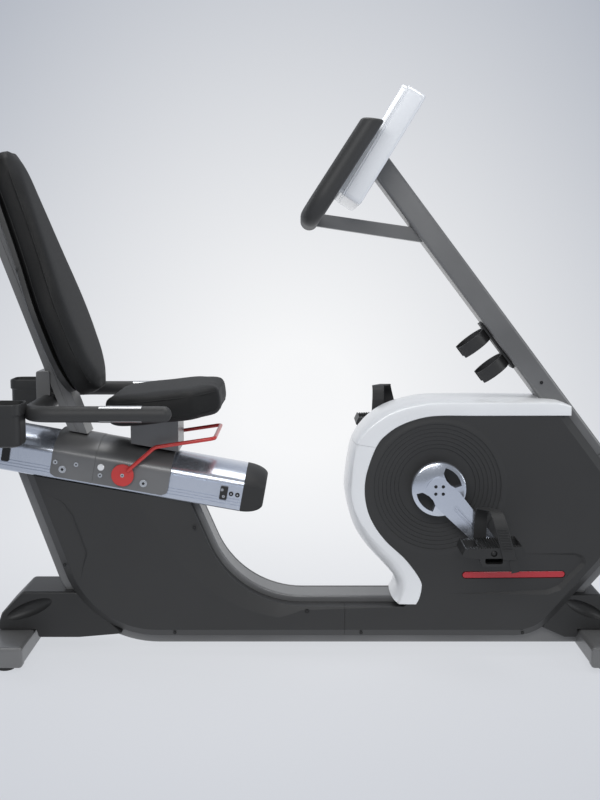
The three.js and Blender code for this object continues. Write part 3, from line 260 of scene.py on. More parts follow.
def cut(obj, *tools, operation="DIFFERENCE"):
    for tool in tools:
        modifier = obj.modifiers.new("cut", "BOOLEAN")
        modifier.object = tool
        modifier.operation = operation
        modifier.solver = "EXACT"
    bake(obj)
    for tool in tools:
        bpy.data.objects.remove(tool)
    return obj


def trimmed(obj, point, normal, close=True):
    """Only what lies behind the plane stays. The plane is given in the drawing's millimetres."""
    work = bmesh.new()
    work.from_mesh(obj.data)
    place = placed(*point)
    every = work.verts[:] + work.edges[:] + work.faces[:]
    found = bmesh.ops.bisect_plane(work, geom=every, plane_co=place, plane_no=normal, clear_outer=True)
    if close:
        rim = [e for e in found["geom_cut"] if isinstance(e, bmesh.types.BMEdge)]
        bmesh.ops.holes_fill(work, edges=rim)
    work.to_mesh(obj.data)
    work.free()
    return obj


def copy_of(obj, name):
    twin = bpy.data.objects.new(name, obj.data.copy())
    scene.collection.objects.link(twin)
    return twin


def joined(name, *parts):
    work = bmesh.new()
    for part in parts:
        work.from_mesh(part.data)
        bpy.data.objects.remove(part)
    mesh = bpy.data.meshes.new(name)
    work.to_mesh(mesh)
    work.free()
    obj = bpy.data.objects.new(name, mesh)
    scene.collection.objects.link(obj)
    return obj


def other_side(obj, name):
    twin = copy_of(obj, name)
    twin.data.transform(Matrix.Scale(-1, 4, (0, 1, 0)))
    twin.data.flip_normals()
    return twin


def shaded(obj, finish, smooth=32):
    obj.data.materials.clear()
    obj.data.materials.append(finish)
    obj.data.shade_smooth()
    obj.data.set_sharp_from_angle(angle=math.radians(smooth))
    weights = obj.modifiers.new("even", "WEIGHTED_NORMAL")
    weights.keep_sharp = True
    return bake(obj)


def stands_for(obj, finish, *nodes, smooth=32):
    shaded(obj, finish, smooth)
    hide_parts(*nodes)
    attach(obj, body_of[nodes[0]])
    return obj


def detail(obj, finish, beside, smooth=32):
    """A piece that no node stands for, riding with the node it is fixed beside."""
    shaded(obj, finish, smooth)
    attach(obj, body_of[beside])
    return obj


# %% [markdown]
# ## Finishes
# A real finish is never one flat colour: powder coat has a fine orange peel, moulded plastic a matt grain,
# anodised aluminium a brushed direction, vinyl a leather grain. One builder mixes two close tones with
# noise, varies the gloss, and adds a bump at the grain's true size. Everything reads Object coordinates.

# %% One builder for every finish
def tree_of(name):
    material = bpy.data.materials.new(name)
    material.use_nodes = True
    return material, material.node_tree, material.node_tree.nodes["Principled BSDF"]


def noise_at(tree, scale, stretch=(1, 1, 1), detail_level=3, kind="ShaderNodeTexNoise"):
    place = tree.nodes.new("ShaderNodeTexCoord")
    mapping = tree.nodes.new("ShaderNodeMapping")
    mapping.inputs["Scale"].default_value = stretch
    texture = tree.nodes.new(kind)
    texture.inputs["Scale"].default_value = scale
    if kind == "ShaderNodeTexNoise":
        texture.inputs["Detail"].default_value = detail_level
    tree.links.new(place.outputs["Object"], mapping.inputs["Vector"])
    tree.links.new(mapping.outputs["Vector"], texture.inputs["Vector"])
    return texture


def mixed(tree, factor, low, high, target, wide=(0.3, 0.7)):
    ramp = tree.nodes.new("ShaderNodeValToRGB")
    for element, place, value in zip(ramp.color_ramp.elements, wide, (low, high)):
        element.position = place
        element.color = (*value, 1) if hasattr(value, "__len__") else (value, value, value, 1)
    tree.links.new(factor, ramp.inputs["Fac"])
    tree.links.new(ramp.outputs["Color"], target)


def finish(name, tone, gloss, metal=0.0, grain=900, depth=0.00003, stretch=(1, 1, 1), spread=0.12,
           coat=0.0, leather=False, specular=0.5, tone_scale=6):
    material, tree, shader = tree_of(name)
    shader.inputs["Metallic"].default_value = metal
    shader.inputs["Coat Weight"].default_value = coat
    shader.inputs["Coat Roughness"].default_value = 0.15
    shader.inputs["Specular IOR Level"].default_value = specular
    broad = noise_at(tree, tone_scale, stretch)
    dark = tuple(c * (1 - spread) for c in tone)
    light = tuple(min(c * (1 + spread), 1) for c in tone)
    mixed(tree, broad.outputs["Fac"], dark, light, shader.inputs["Base Color"])
    fine = noise_at(tree, grain, stretch, 2, "ShaderNodeTexVoronoi" if leather else "ShaderNodeTexNoise")
    height = fine.outputs["Distance" if leather else "Fac"]
    mixed(tree, height, max(gloss - 0.06, 0.02), min(gloss + 0.06, 1), shader.inputs["Roughness"])
    bump = tree.nodes.new("ShaderNodeBump")
    bump.inputs["Strength"].default_value = 0.6
    bump.inputs["Distance"].default_value = depth
    tree.links.new(height, bump.inputs["Height"])
    tree.links.new(bump.outputs["Normal"], shader.inputs["Normal"])
    return material


def grey(value, tint=0.0):
    return (value * (1 - tint), value, value * (1 + tint))


paint = finish("satin_powder_coat", grey(0.185), 0.38, metal=0.35, grain=1400, depth=0.00002, coat=0.15)
cover_black = finish("grained_cover_plastic", grey(0.031), 0.52, grain=2600, depth=0.00004, spread=0.05)
trim_black = finish("grained_trim_plastic", grey(0.024), 0.48, grain=2200, depth=0.00004, spread=0.08)
silver = finish("silver_shroud_paint", grey(0.93, 0.012), 0.34, metal=0.12, grain=3000, depth=0.000008,
                coat=0.35, spread=0.03)
aluminium = finish("anodised_rail", (0.66, 0.70, 0.78), 0.24, metal=0.85, grain=2600, depth=0.0000006,
                   stretch=(0.2, 1, 1), spread=0.02)
alloy = finish("polished_crank_alloy", (0.68, 0.72, 0.80), 0.20, metal=0.85, grain=700, depth=0.00001,
               spread=0.03)
bright = finish("zinc_bolt", grey(0.62, 0.02), 0.24, metal=1.0, grain=1500, depth=0.00001, spread=0.05)
dark_steel = finish("black_oxide_screw", grey(0.03), 0.35, metal=0.7, grain=1500, depth=0.00001)
iron = finish("machined_flywheel", grey(0.22), 0.35, metal=0.9, grain=400, depth=0.00002, spread=0.1)
red = finish("red_lever_paint", (0.62, 0.045, 0.04), 0.33, metal=0.05, grain=1600, depth=0.00001, coat=0.3,
             spread=0.05)
red_strip = finish("red_accent_plastic", (0.50, 0.018, 0.03), 0.30, grain=2600, depth=0.00001, coat=0.4,
                   spread=0.04)
rubber = finish("matt_rubber", grey(0.024), 0.62, grain=1800, depth=0.00005)
foam = finish("foam_sleeve", grey(0.034), 0.55, grain=2800, depth=0.00009, spread=0.1)
vinyl = finish("grained_vinyl", grey(0.009), 0.62, grain=650, depth=0.00012, leather=True, spread=0.15,
               specular=0.28)
plate_steel = finish("pulse_plate", grey(0.55, 0.01), 0.3, metal=0.9, grain=900, depth=0.00001,
                     stretch=(0.05, 1, 1))
case_silver = finish("bright_console_paint", (0.88, 0.90, 0.93), 0.28, metal=0.2, grain=3000, depth=0.000004,
                     coat=0.4, spread=0.02)
glass = finish("console_window", grey(0.012), 0.12, grain=100, depth=0.000001, coat=0.8)
print("finishes:", len(bpy.data.materials))

# %% [markdown]
# ## Camera, floor and light
# The bike stands in a plain studio: a pale floor that curves up into the wall, so no horizon shows, and
# large soft lights. The wall's paint glows as a painted pool of light, brightest behind the middle of the
# bike, where a lamp aimed at it would make one.

# %% Camera
eye = bpy.data.cameras.new("eye")
camera = bpy.data.objects.new("camera", eye)
scene.collection.objects.link(camera)
eye.lens = 52.11
eye.sensor_width = 36
eye.clip_end = 60
camera.location = (shift, -2.8, 0.958)
camera.rotation_euler = (math.radians(90 - 6.99), 0, 0)
scene.camera = camera

# %% Floor and wall in one sweep
def studio_sweep():
    half, back, radius = 9.0, 3.6, 2.4
    line = [(-9.0, 0.0), (back - radius, 0.0)]
    line += [(back - radius + radius * math.sin(a), radius - radius * math.cos(a))
             for a in (math.radians(90) * k / 24 for k in range(1, 25))]
    line.append((back, 9.0))
    verts = [(x, y, z - 0.0005) for y, z in line for x in (-half, half)]
    faces = [(2 * i, 2 * i + 1, 2 * i + 3, 2 * i + 2) for i in range(len(line) - 1)]
    mesh = bpy.data.meshes.new("studio")
    mesh.from_pydata(verts, [], faces)
    sweep_object = bpy.data.objects.new("studio", mesh)
    scene.collection.objects.link(sweep_object)
    mesh.shade_smooth()
    return sweep_object


def studio_painted_light():
    """Pale paint that also glows a little: painted light, brightest behind the bike's middle, without hot
    spots.
    """
    material, tree, shader = tree_of("studio_painted_light")
    place = tree.nodes.new("ShaderNodeTexCoord")
    centre = tree.nodes.new("ShaderNodeMapping")
    centre.vector_type = "POINT"
    centre.inputs["Location"].default_value = (0, -0.52, -0.10)
    centre.inputs["Scale"].default_value = (0.40, 0.216, 0.32)
    # Painted light: the wall's glow is brightest in a ball about the bike's middle and darker towards its
    # edges.
    painted_light_ball = tree.nodes.new("ShaderNodeTexGradient")
    painted_light_ball.gradient_type = "SPHERICAL"
    tree.links.new(place.outputs["Object"], centre.inputs["Vector"])
    tree.links.new(centre.outputs["Vector"], painted_light_ball.inputs["Vector"])
    mixed(tree, painted_light_ball.outputs["Fac"], (0.42, 0.45, 0.51), (0.93, 0.935, 0.94), shader.inputs["Emission Color"],
          (0.0, 0.9))
    shader.inputs["Emission Strength"].default_value = 0.9
    shader.inputs["Base Color"].default_value = (0.12, 0.12, 0.125, 1)
    shader.inputs["Roughness"].default_value = 0.9
    shader.inputs["Specular IOR Level"].default_value = 0.1
    return material


studio = studio_sweep()
studio.data.materials.append(studio_painted_light())

# %% Lamps
def lamp(name, location, target, size, power, tint=(1, 1, 1)):
    data = bpy.data.lights.new(name, "AREA")
    data.shape = "RECTANGLE"
    data.size, data.size_y = size
    data.energy = power
    data.color = tint
    obj = bpy.data.objects.new(name, data)
    scene.collection.objects.link(obj)
    obj.location = location
    obj.rotation_euler = (Vector(target) - Vector(location)).to_track_quat("-Z", "Y").to_euler()


lamp("key_softbox", (-0.6, -3.6, 2.6), (0.1, 0, 0.5), (2.6, 1.4), 62)
lamp("top_softbox", (0.2, 0.2, 3.0), (0, 0, 0.4), (3.2, 1.2), 42)
lamp("side_softbox", (3.4, -1.2, 1.4), (0.3, 0, 0.5), (1.2, 2.0), 26, (0.96, 0.98, 1))
lamp("rear_softbox", (-3.2, 1.6, 1.8), (-0.3, 0, 0.6), (1.4, 2.0), 26, (0.97, 0.985, 1))
world = bpy.data.worlds.new("studio_air")
scene.world = world
world.use_nodes = True
world.node_tree.nodes["Background"].inputs["Color"].default_value = (0.62, 0.66, 0.72, 1)
world.node_tree.nodes["Background"].inputs["Strength"].default_value = 0.32
print("camera at", [round(c, 3) for c in camera.location])

# %% [markdown]
# ## The lines of the frame
# One bent tube runs down from the rail, along the floor and up the nose, and a second steps down behind
# the housing. Both are bent from rectangular tube, so each is a line with round corners and one section.

# %% Lines of the frame
FLOOR_GAP = 21
SEAM_X, CRANK = 108, (327, 417.5)
RAIL_TILT, RAIL_FRONT = 10.2, (-145, 358.6)
REAR_SLOPE, STEP_SLOPE, NOSE_SLOPE, MAST_SLOPE = 70.3, 66.6, 49, 52.7
MAST_FOOT, MAST_TOP, MAST_TO_CONSOLE = 205, 1160, 958
REAR_BEND, STEP_BEND, NOSE_BEND = 262, 228, 224


def up_line(corner, slope, rise):
    return corner[0] - rise / math.tan(math.radians(slope)), corner[1] + rise


rear_corner, step_corner, front_corner = (-529.4, FLOOR_GAP), (-145, 138), (585.6, FLOOR_GAP)
nose_x = NOSE_X + (1 / heading((MAST_SLOPE + NOSE_SLOPE) / 2)[1] - 1) * NOSE_BEND
nose_corner = (nose_x, FLOOR_GAP + (nose_x - front_corner[0]) * math.tan(math.radians(NOSE_SLOPE)))


def on_mast(distance, back=0):
    """A point on the mast's front face, or `back` behind it."""
    c, s = heading(MAST_SLOPE)
    return nose_corner[0] - c * distance - s * back, nose_corner[1] + s * distance - c * back


def on_rail(along, height):
    """A point `along` the rail from its front end, `height` above its underside."""
    c, s = heading(-RAIL_TILT)
    return RAIL_FRONT[0] + along * c - height * s, RAIL_FRONT[1] + along * s + height * c


rear_top = up_line(rear_corner, REAR_SLOPE, 514)
rear_line = rounded([rear_top, (*rear_corner, REAR_BEND), (680, FLOOR_GAP)])
step_line = rounded([up_line(step_corner, STEP_SLOPE, 400), (*step_corner, STEP_BEND), (291, 138)])
nose_line = rounded([(611, 50.3), (*nose_corner, NOSE_BEND), on_mast(MAST_FOOT - 1)])
RAIL_UP = at(heading(90 - RAIL_TILT))
print("nose corner", [round(c, 1) for c in nose_corner], "rear line has", len(rear_line), "points")

# %% [markdown]
# ## Bent tubes
# Each tube has a rolled bead along its outer edges with a fine groove beside it. The bead is in the
# section, so the sweep carries it round every bend, which a bump texture could not do at the silhouette.

# %% The three bent tubes
half_section = [(0, 1), (36, 1), (37.2, 3), (39, 3), (40.2, 1), (41.5, 0.2), (43.5, 0), (45.8, 0.8),
                (47.4, 2.4), (48, 5), (48, 44), (46.6, 48), (43, 49.6), (40, 50), (0, 50)]
tube_section = half_section + [(-y, n) for y, n in half_section[::-1] if y]
under_rail = at(on_rail(0, 1))

rear_tube = sweep("rear_bottom_tube_bent", rear_line, tube_section)
trimmed(rear_tube, under_rail, RAIL_UP)
stands_for(rear_tube, paint, "rear_bottom_tube")
step_tube = sweep("step_tube_bent", step_line, [(y, -n) for y, n in tube_section])
trimmed(step_tube, under_rail, RAIL_UP)
stands_for(step_tube, paint, "step_tube")
nose_tube = sweep("nose_tube_bent", nose_line, tube_section)
stands_for(nose_tube, paint, "nose_tube")

# %% The mast
mast_half = [(0, 0), (37, 0), (41, 1), (44, 4), (45, 8), (45, 45), (44, 49), (41, 52), (37, 53), (0, 53)]
mast_section = mast_half + [(-y, n) for y, n in mast_half[::-1] if y]
mast = sweep("mast_extruded", [on_mast(MAST_FOOT), on_mast(MAST_TOP)], mast_section)
CONSOLE_SLOPE = 58.5
console_foot = (on_mast(MAST_TO_CONSOLE)[0] - 186, on_mast(MAST_TO_CONSOLE)[1])


def on_console(up, out):
    """A point up the console's face, `out` of it towards the rider."""
    c, s = heading(CONSOLE_SLOPE)
    return console_foot[0] + up * c - out * s, console_foot[1] + up * s + out * c


CONSOLE_OUT = at(heading(90 + CONSOLE_SLOPE))
trimmed(mast, at(on_console(0, -40)), CONSOLE_OUT)
stands_for(mast, paint, "mast_tube")
print("tube bends made:", [o.name for o in (rear_tube, step_tube, nose_tube, mast)])

# %% [markdown]
# ## The side covers
# A cover is a big flat moulding with a chamfer all round, a dished ring about the crank, and shallow
# recesses whose floors slope. A flat face with such insets is easiest as a drawing: the outline, the hole
# and the recess lines are triangulated together, and each point then sinks by its own depth.

# %% The covers' outline, with how wide and deep the chamfer is at each point
COVER_HALF = 92
shroud_edge = [(640, 589), (424.8, 588.6), (330.4, 588.6), (283.3, 582.2), (236.2, 565.2), (203.4, 542.5),
               (184.6, 521), (167.9, 482.6), (155.2, 434.4), (155.5, 386), (169.9, 337.4), (202.8, 288.6),
               (253.8, 239.6), (288.7, 190.4), (291.4, 165.7), (285.5, 142), (279.3, 131)]
round_frame = rounded([rear_top, (*rear_corner, REAR_BEND), (*front_corner, 140),
                       (*nose_corner, NOSE_BEND), on_mast(700)])
low_part = inset(round_frame, 25)
last_low = next(i for i, p in enumerate(low_part) if p[0] > 300 and p[1] > 560)
mast_top = (low_part[-1][0] + (low_part[-1][1] - 604) / math.tan(math.radians(MAST_SLOPE)), 604)
under_shroud = inset(along_line(shroud_edge[1:-1], 56), -10)
step_part = inset(step_line, -14)[::-1]
step_part = [(250, 124)] + [p for p in step_part if p[0] < 240]
outline = low_part[:last_low] + [mast_top, (560, 603)] + under_shroud + step_part
edges = [(22, 22)] * (last_low + 1) + [(0.4, 0.4)] * (len(under_shroud) + 1)
for i, (x, z) in enumerate(step_part):
    grow = min(i / 4, 1)
    rise = max(0, z - 124) / 260
    edges.append((0.4 + grow * (32 + 84 * min(rise, 1.2)), 0.4 + 11 * grow))
print("cover outline:", len(outline), "points")

# %% The recesses: a front one about the accent strip, and a rear one beside the tube
HUB_RING = 168
STRIP_LINE = (397.5, 629.5, 202.7)
recesses = {
    "front": [(356, 156.3), (596.6, 154), (627.6, 165.7), (688.1, 231.5), (680.4, 249.4), (661, 256.8),
              (514.9, 255.3)],
    "rear": [(-527.5, 188.4), (-517.4, 228.5), (-507.7, 256.8), (-539.7, 350.1), (-564.2, 382.6),
             (-602.3, 401.3)],
}
recess_slope = {"front": 0.065, "rear": 0.11}
recess_rounding = {"front": 14, "rear": 24}


def recess_depth(end, point):
    """A recess's floor slopes down from the straight line between its first and last corners."""
    first, last = Vector(recesses[end][0]), Vector(recesses[end][-1])
    chord = (last - first).normalized()
    return max(0.0, (Vector(point) - first).dot(Vector((chord.y, -chord.x))) * recess_slope[end])


def recess_lines(end):
    """The recess's rim and its floor's edge, as (x, z, depth); both start and end at no depth."""
    rim = rounded([(*p, recess_rounding[end]) for p in recesses[end]], step=12)
    floor = inset(rim, [recess_depth(end, p) * 1.25 for p in rim])
    return [(*p, 0.0) for p in rim], [(*p, recess_depth(end, p)) for p in floor]


def capsule(x0, x1, z, radius):
    turns = [heading(-90 + 18 * k) for k in range(11)]
    return ([(x1 + radius * c, z + radius * s) for c, s in turns]
            + [(x0 - radius * c, z - radius * s) for c, s in turns])


slot_line = capsule(*STRIP_LINE, 9)
hub_line = [(CRANK[0] + HUB_RING * c, CRANK[1] + HUB_RING * s) for c, s in circle(128)]


# %% The cover's skin
def within(point, loop):
    x, z = point
    inside = False
    for (x0, z0), (x1, z1) in zip(loop, loop[1:] + loop[:1]):
        if (z0 > z) != (z1 > z) and x < (x1 - x0) * (z - z0) / (z1 - z0) + x0:
            inside = not inside
    return inside


def cover_skin(name):
    rows = []
    for share, level in ((0.0, None), (0.0, 1.0), (0.03, 0.93), (0.93, 0.03), (1.03, 0.0)):
        line = inset(outline, [w * share for w, _ in edges])
        rows.append([(x, -49 if level is None else -(COVER_HALF - d * level), z)
                     for (x, z), (_, d) in zip(line, edges)])
    face_edge = [(x, z) for x, _, z in rows[-1]]
    points, depths, links = [], [], []
    for loop, depth in ((face_edge, None), (hub_line, None), (slot_line, "slot")):
        base = len(points)
        points += loop
        depths += [recess_depth("front", p) if depth else 0.0 for p in loop]
        links += [(base + i, base + (i + 1) % len(loop)) for i in range(len(loop))]
    for end in recesses:
        for line in recess_lines(end):
            base = len(points)
            points += [(x, z) for x, z, _ in line]
            depths += [d for _, _, d in line]
            links += [(base + i, base + i + 1) for i in range(len(line) - 1)]
    places, _, triangles, origins, _, _ = geometry.delaunay_2d_cdt(
        [Vector(p) for p in points], links, [], 0, 1e-4)
    verts = []
    for place, origin in zip(places, origins):
        depth = max(depths[k] for k in origin) if origin else recess_depth("front", place)
        verts.append((place.x, -COVER_HALF + depth, place.y))
    faces = []
    for triangle in triangles:
        middle = sum((places[k] for k in triangle), Vector((0, 0))) / len(triangle)
        if within(middle, face_edge) and not within(middle, hub_line) and not within(middle, slot_line):
            faces.append(tuple(triangle))
    for row, lower in zip(rows[1:], rows):
        base, count = len(verts), len(row)
        verts += lower + row
        faces += quads(base, base + count, count, closed=False)
    base, count = len(verts), len(slot_line)
    for sink in (0, 5):
        verts += [at(p, -COVER_HALF + recess_depth("front", p) + sink) for p in slot_line]
    faces += quads(base, base + count, count)
    faces.append(tuple(range(base + count, base + 2 * count)))
    rings = [(HUB_RING, COVER_HALF), (164, 92.2), (158, 93.2), (154, 93.8), (151.5, 93.2), (150.5, 91.6)]
    for k in range(6):
        rings += [(149.5 - 9.8 * k, 91.2 - 1.85 * k), (141.5 - 9.8 * k, 90.9 - 1.85 * k),
                  (140.6 - 9.8 * k, 89.6 - 1.85 * k)]
    rings += [(90, 80.2), (88, 80), (30, 80), (28, 79), (27, 70)]
    base, count = len(verts), len(hub_line)
    for radius, y in rings:
        verts += [(CRANK[0] + (x - CRANK[0]) * radius / HUB_RING, -y,
                   CRANK[1] + (z - CRANK[1]) * radius / HUB_RING) for x, z in hub_line]
    for r in range(len(rings) - 1):
        faces += quads(base + r * count, base + (r + 1) * count, count)
    return make(name, verts, faces)


def walled(obj, thickness):
    wall = obj.modifiers.new("wall", "SOLIDIFY")
    wall.thickness = thickness * MM
    wall.offset = -1
    return bake(obj)


skin = cover_skin("cover_skin")
outward = sum((f.normal.y * f.area for f in skin.data.polygons), 0.0)
if outward > 0:
    skin.data.flip_normals()
print("cover skin:", len(skin.data.polygons), "faces, facing", "out" if outward < 0 else "in, so turned")

# %% Rear and front covers, right and left
for end, sign in (("rear", 1), ("front", -1)):
    half = copy_of(skin, f"{end}_cover_right_moulding")
    trimmed(half, (SEAM_X - sign * 0.35, 0, 0), (sign, 0, 0), close=False)
    if end == "rear":
        trimmed(half, at(on_rail(0, -1.5)), RAIL_UP, close=False)
    walled(half, 3)
    left = other_side(half, f"{end}_cover_left_moulding")
    stands_for(half, cover_black, f"{end}_cover_right", smooth=26)
    stands_for(left, cover_black, f"{end}_cover_left", smooth=26)
bpy.data.objects.remove(skin)
print("the covers meet at x", SEAM_X)

# %% The accent strip
for side, name in SIDES:
    rows = []
    for radius, lift in ((7.4, -4), (7.4, -0.2), (6.6, 0.7), (4.5, 1.1)):
        rows.append([at(p, side * (COVER_HALF - recess_depth("front", p) + lift))
                     for p in capsule(*STRIP_LINE, radius)])
    detail(loft(f"accent_strip_{name}", rows), red_strip, f"front_cover_{name}")
print("accent strip from x", STRIP_LINE[0], "to", STRIP_LINE[1])

# %% [markdown]
# ## The silver shroud
# The shroud wraps the housing's back like a collar: a flat band on each side, a crease, and a crowned
# back between them. Three lines drive it (the band's edge, the crease and the crown), so a loft through
# matching points on those lines gives the twist that the neck has, where a plain sweep would not.

# %% Shroud
crease_line = [(640, 611), (600, 618), (500, 619), (330.4, 618.3), (283.3, 613.5), (236.2, 601.6),
               (196.2, 582.6), (156.3, 549.1), (133.4, 507.9), (123.4, 433.6), (124, 385.2), (141.4, 336.5),
               (170.4, 295), (209.1, 255.7), (241, 221.3), (254.2, 184.3), (246, 152), (238, 131)]
crown_line = [(634, 614), (600, 623.5), (500, 626), (330.4, 626), (276, 621), (226, 608), (182, 586),
              (146, 551), (122.5, 508), (109.8, 433.6), (109.2, 391.6), (127.5, 318), (157, 267),
              (202.7, 216.2), (226, 190), (232.5, 170), (229, 150), (221.5, 139)]
STATIONS = 110
edge_points = along_line(shroud_edge, STATIONS)
crease_points = along_line(crease_line, STATIONS)
crown_points = along_line(crown_line, STATIONS)
band = [(84, 0, -0.02), (93.6, 0, 0), (94.6, 0.03, 0), (94.2, 0.5, 0), (93, 0.93, 0), (91.6, 1, 0.02),
        (88, 1, 0.2), (82, 1, 0.42), (73, 1, 0.62), (60, 1, 0.79), (42, 1, 0.91), (20, 1, 0.98), (0, 1, 1)]
band += [(-y, a, b) for y, a, b in band[-2::-1]]
shroud_rings = []
for edge, crease, crown in zip(edge_points, crease_points, crown_points):
    ring = []
    for y, to_crease, to_crown in band:
        place = Vector(edge).lerp(Vector(crease), to_crease).lerp(Vector(crown), max(to_crown, 0))
        ring.append(at(place, y))
    shroud_rings.append(ring)
shroud = loft("shroud_skin", shroud_rings, caps=False, round_section=False)
middle_face = min(shroud.data.polygons, key=lambda f: abs(f.center.y) + abs(f.center.z - 0.43))
if middle_face.normal.x > 0:
    shroud.data.flip_normals()
seam_normal = Vector((-8.9, 0, -58.1)).normalized()
for part, sign in (("upper", 1), ("lower", -1)):
    half = copy_of(shroud, f"{part}_shroud_moulding")
    seam_at = (156, 0, 516.4 + sign * 0.3)
    trimmed(half, seam_at, tuple(seam_normal * sign), close=False)
    if part == "upper":
        trimmed(half, (106, 0, 0), (-1, 0, 0), close=False)
    walled(half, 3)
    stands_for(half, silver, f"{part}_shroud", smooth=28)
bpy.data.objects.remove(shroud)
print("shroud stations:", STATIONS)

# %% [markdown]
# ## The rail and what closes it
# The rail is one aluminium extrusion: flat sides with three running grooves and a step, under a low arch.
# An extrusion has the same section everywhere, so the section is drawn once and carried straight.

# %% Rail, end caps and stops
def span(side, near, far):
    """Two distances from the middle plane as y values, lower one first, on the side asked for."""
    return (-far, -near) if side < 0 else (near, far)


RAIL_HALF, RAIL_SIDE, RAIL_TOP, RAIL_LENGTH = 92, 62, 101, 607.6
GROOVE_HEIGHTS = (13.5, 20.5, 27.5)


def arch(grow=0, steps=24):
    return [((RAIL_HALF + grow) * math.cos(a), RAIL_SIDE + (RAIL_TOP - RAIL_SIDE + grow) * math.sin(a))
            for a in (math.pi * k / steps for k in range(steps + 1))]


def rail_section():
    side = [(RAIL_HALF - 2.5, 0), (RAIL_HALF, 2.5)]
    for h in GROOVE_HEIGHTS:
        groove = ((0, -1.1), (1.8, -0.5), (1.8, 0.5), (0, 1.1))
        side += [(RAIL_HALF - depth, h + rise) for depth, rise in groove]
    side += [(RAIL_HALF - depth, RAIL_SIDE - drop) for depth, drop in ((0, 3), (1.4, 2.4), (1.4, 1.2))]
    return side + arch() + [(-y, h) for y, h in side[::-1]]


def along_rail(name, section, start, end):
    return sweep(name, [on_rail(start, 0), on_rail(end, 0)], section)


rail = along_rail("rail_extrusion", rail_section(), -RAIL_LENGTH, 0)
bore_section = [(y * 0.945, 5 + h * 0.9) for y, h in rail_section()]
cut(rail, along_rail("rail_bore", bore_section, -RAIL_LENGTH - 5, 5))
stands_for(rail, aluminium, "seat_rail", smooth=24)

cap_section = [(RAIL_HALF, 3), (RAIL_HALF, 20), (RAIL_HALF, 42), *arch(), (-RAIL_HALF, 42), (-RAIL_HALF, 20),
               (-RAIL_HALF, 3), (-RAIL_HALF + 3, 0), (0, 0), (RAIL_HALF - 3, 0)]
for end, towards, face in (("front", 1, 0.3), ("rear", -1, -RAIL_LENGTH - 0.3)):
    rings = []
    for k in range(15):
        share = math.sin(math.radians(90 * k / 14))
        shrink = 1 - 0.42 * (1 - math.sqrt(max(1 - (0.995 * share) ** 2, 0)))
        ring = []
        for y, h in cap_section:
            x, z = on_rail(face + towards * share * 52, RAIL_TOP / 2 + (h - RAIL_TOP / 2) * shrink)
            ring.append((x, y * (1 - 0.6 * (1 - shrink)), z))
        rings.append(ring)
    cap = loft(f"rail_cap_{end}_moulding", rings)
    stands_for(cap, rubber, f"rail_cap_{end}", smooth=50)

for end, along in (("front", -44), ("rear", -RAIL_LENGTH + 40)):
    corners = [(*on_rail(along + s, h), 3) for s, h in ((-9, 22), (9, 22), (9, 54), (-9, 54))]
    stop = bevelled(plate(f"rail_stop_{end}_block", rounded(corners, True, 30), -98, -92.2), 1)
    stands_for(stop, rubber, f"rail_stop_{end}")
print("rail runs from", [round(c) for c in on_rail(-RAIL_LENGTH, 0)], "to", [round(c) for c in on_rail(0, 0)])

# %% [markdown]
# ## The seat carriage
# The carriage is sheet steel bent over the rail, in two lengths that meet at a fine seam. A grid laid out
# flat and wrapped round the arch keeps its bottom corners round, as the cut sheet's corners are.

# %% Carriage in two lengths
def wrapped_sheet(name, start, end, grow, corner):
    line = [(RAIL_HALF + grow, 7 + k * 5.5) for k in range(10)] + arch(grow, 30)
    line += [(-y, h) for y, h in line[9::-1]]
    rings = []
    for y, h in line:
        drop = max(0.0, corner - (h - 7))
        round_off = corner - math.sqrt(max(corner ** 2 - drop ** 2, 0))
        a, b = start + round_off * corner_at(start), end - round_off * corner_at(end)
        places = [a + (b - a) * k / 12 for k in range(13)]
        rings.append([at(on_rail(s, h), y) for s in places])
    return loft(name, rings, caps=False, round_section=False)


CARRIAGE_REAR, CARRIAGE_FRONT, CARRIAGE_SEAM = -458, -176, -356


def corner_at(along):
    return 0 if along == CARRIAGE_SEAM else 1


lengths = []
for name, start, end, grow in (("rear", CARRIAGE_REAR, CARRIAGE_SEAM, 9),
                               ("front", CARRIAGE_SEAM, CARRIAGE_FRONT, 8.4)):
    sheet = wrapped_sheet(f"carriage_{name}_length", start, end, grow, 13)
    top = max(sheet.data.polygons, key=lambda f: f.center.z)
    if top.normal.z < 0:
        sheet.data.flip_normals()
    lengths.append(bevelled(walled(sheet, 3.6), 0.7, 2, 60))
stands_for(lengths[0], paint, "seat_carriage", smooth=40)
detail(lengths[1], paint, "seat_carriage", smooth=40)
for side, name in SIDES:
    corners = [(*on_rail(s, h), 2) for s, h in ((-450, 14), (-184, 14), (-184, 34), (-450, 34))]
    pad = plate(f"glide_{name}_strip", rounded(corners, True, 30), *span(side, 92.7, 96.6))
    stands_for(pad, trim_black, f"glide_pad_{name}")
print("carriage length:", CARRIAGE_FRONT - CARRIAGE_REAR, "mm")

# %% [markdown]
# ## Crank arms
# A crank arm is forged, then machined: a round spider with two windows, and an arm with a long slot. The
# solid is built as the blank was, from a disc and a bar, and the openings are cut through it afterwards.

# %% Crank arms with their spindles
CRANK_ANGLE, CRANK_LENGTH = -47.6, 165
CRANKS = ((-1, "right", CRANK_ANGLE), (1, "left", CRANK_ANGLE + 180))


def about_crank(angle, u, v):
    c, s = heading(angle)
    return CRANK[0] + u * c - v * s, CRANK[1] + u * s + v * c


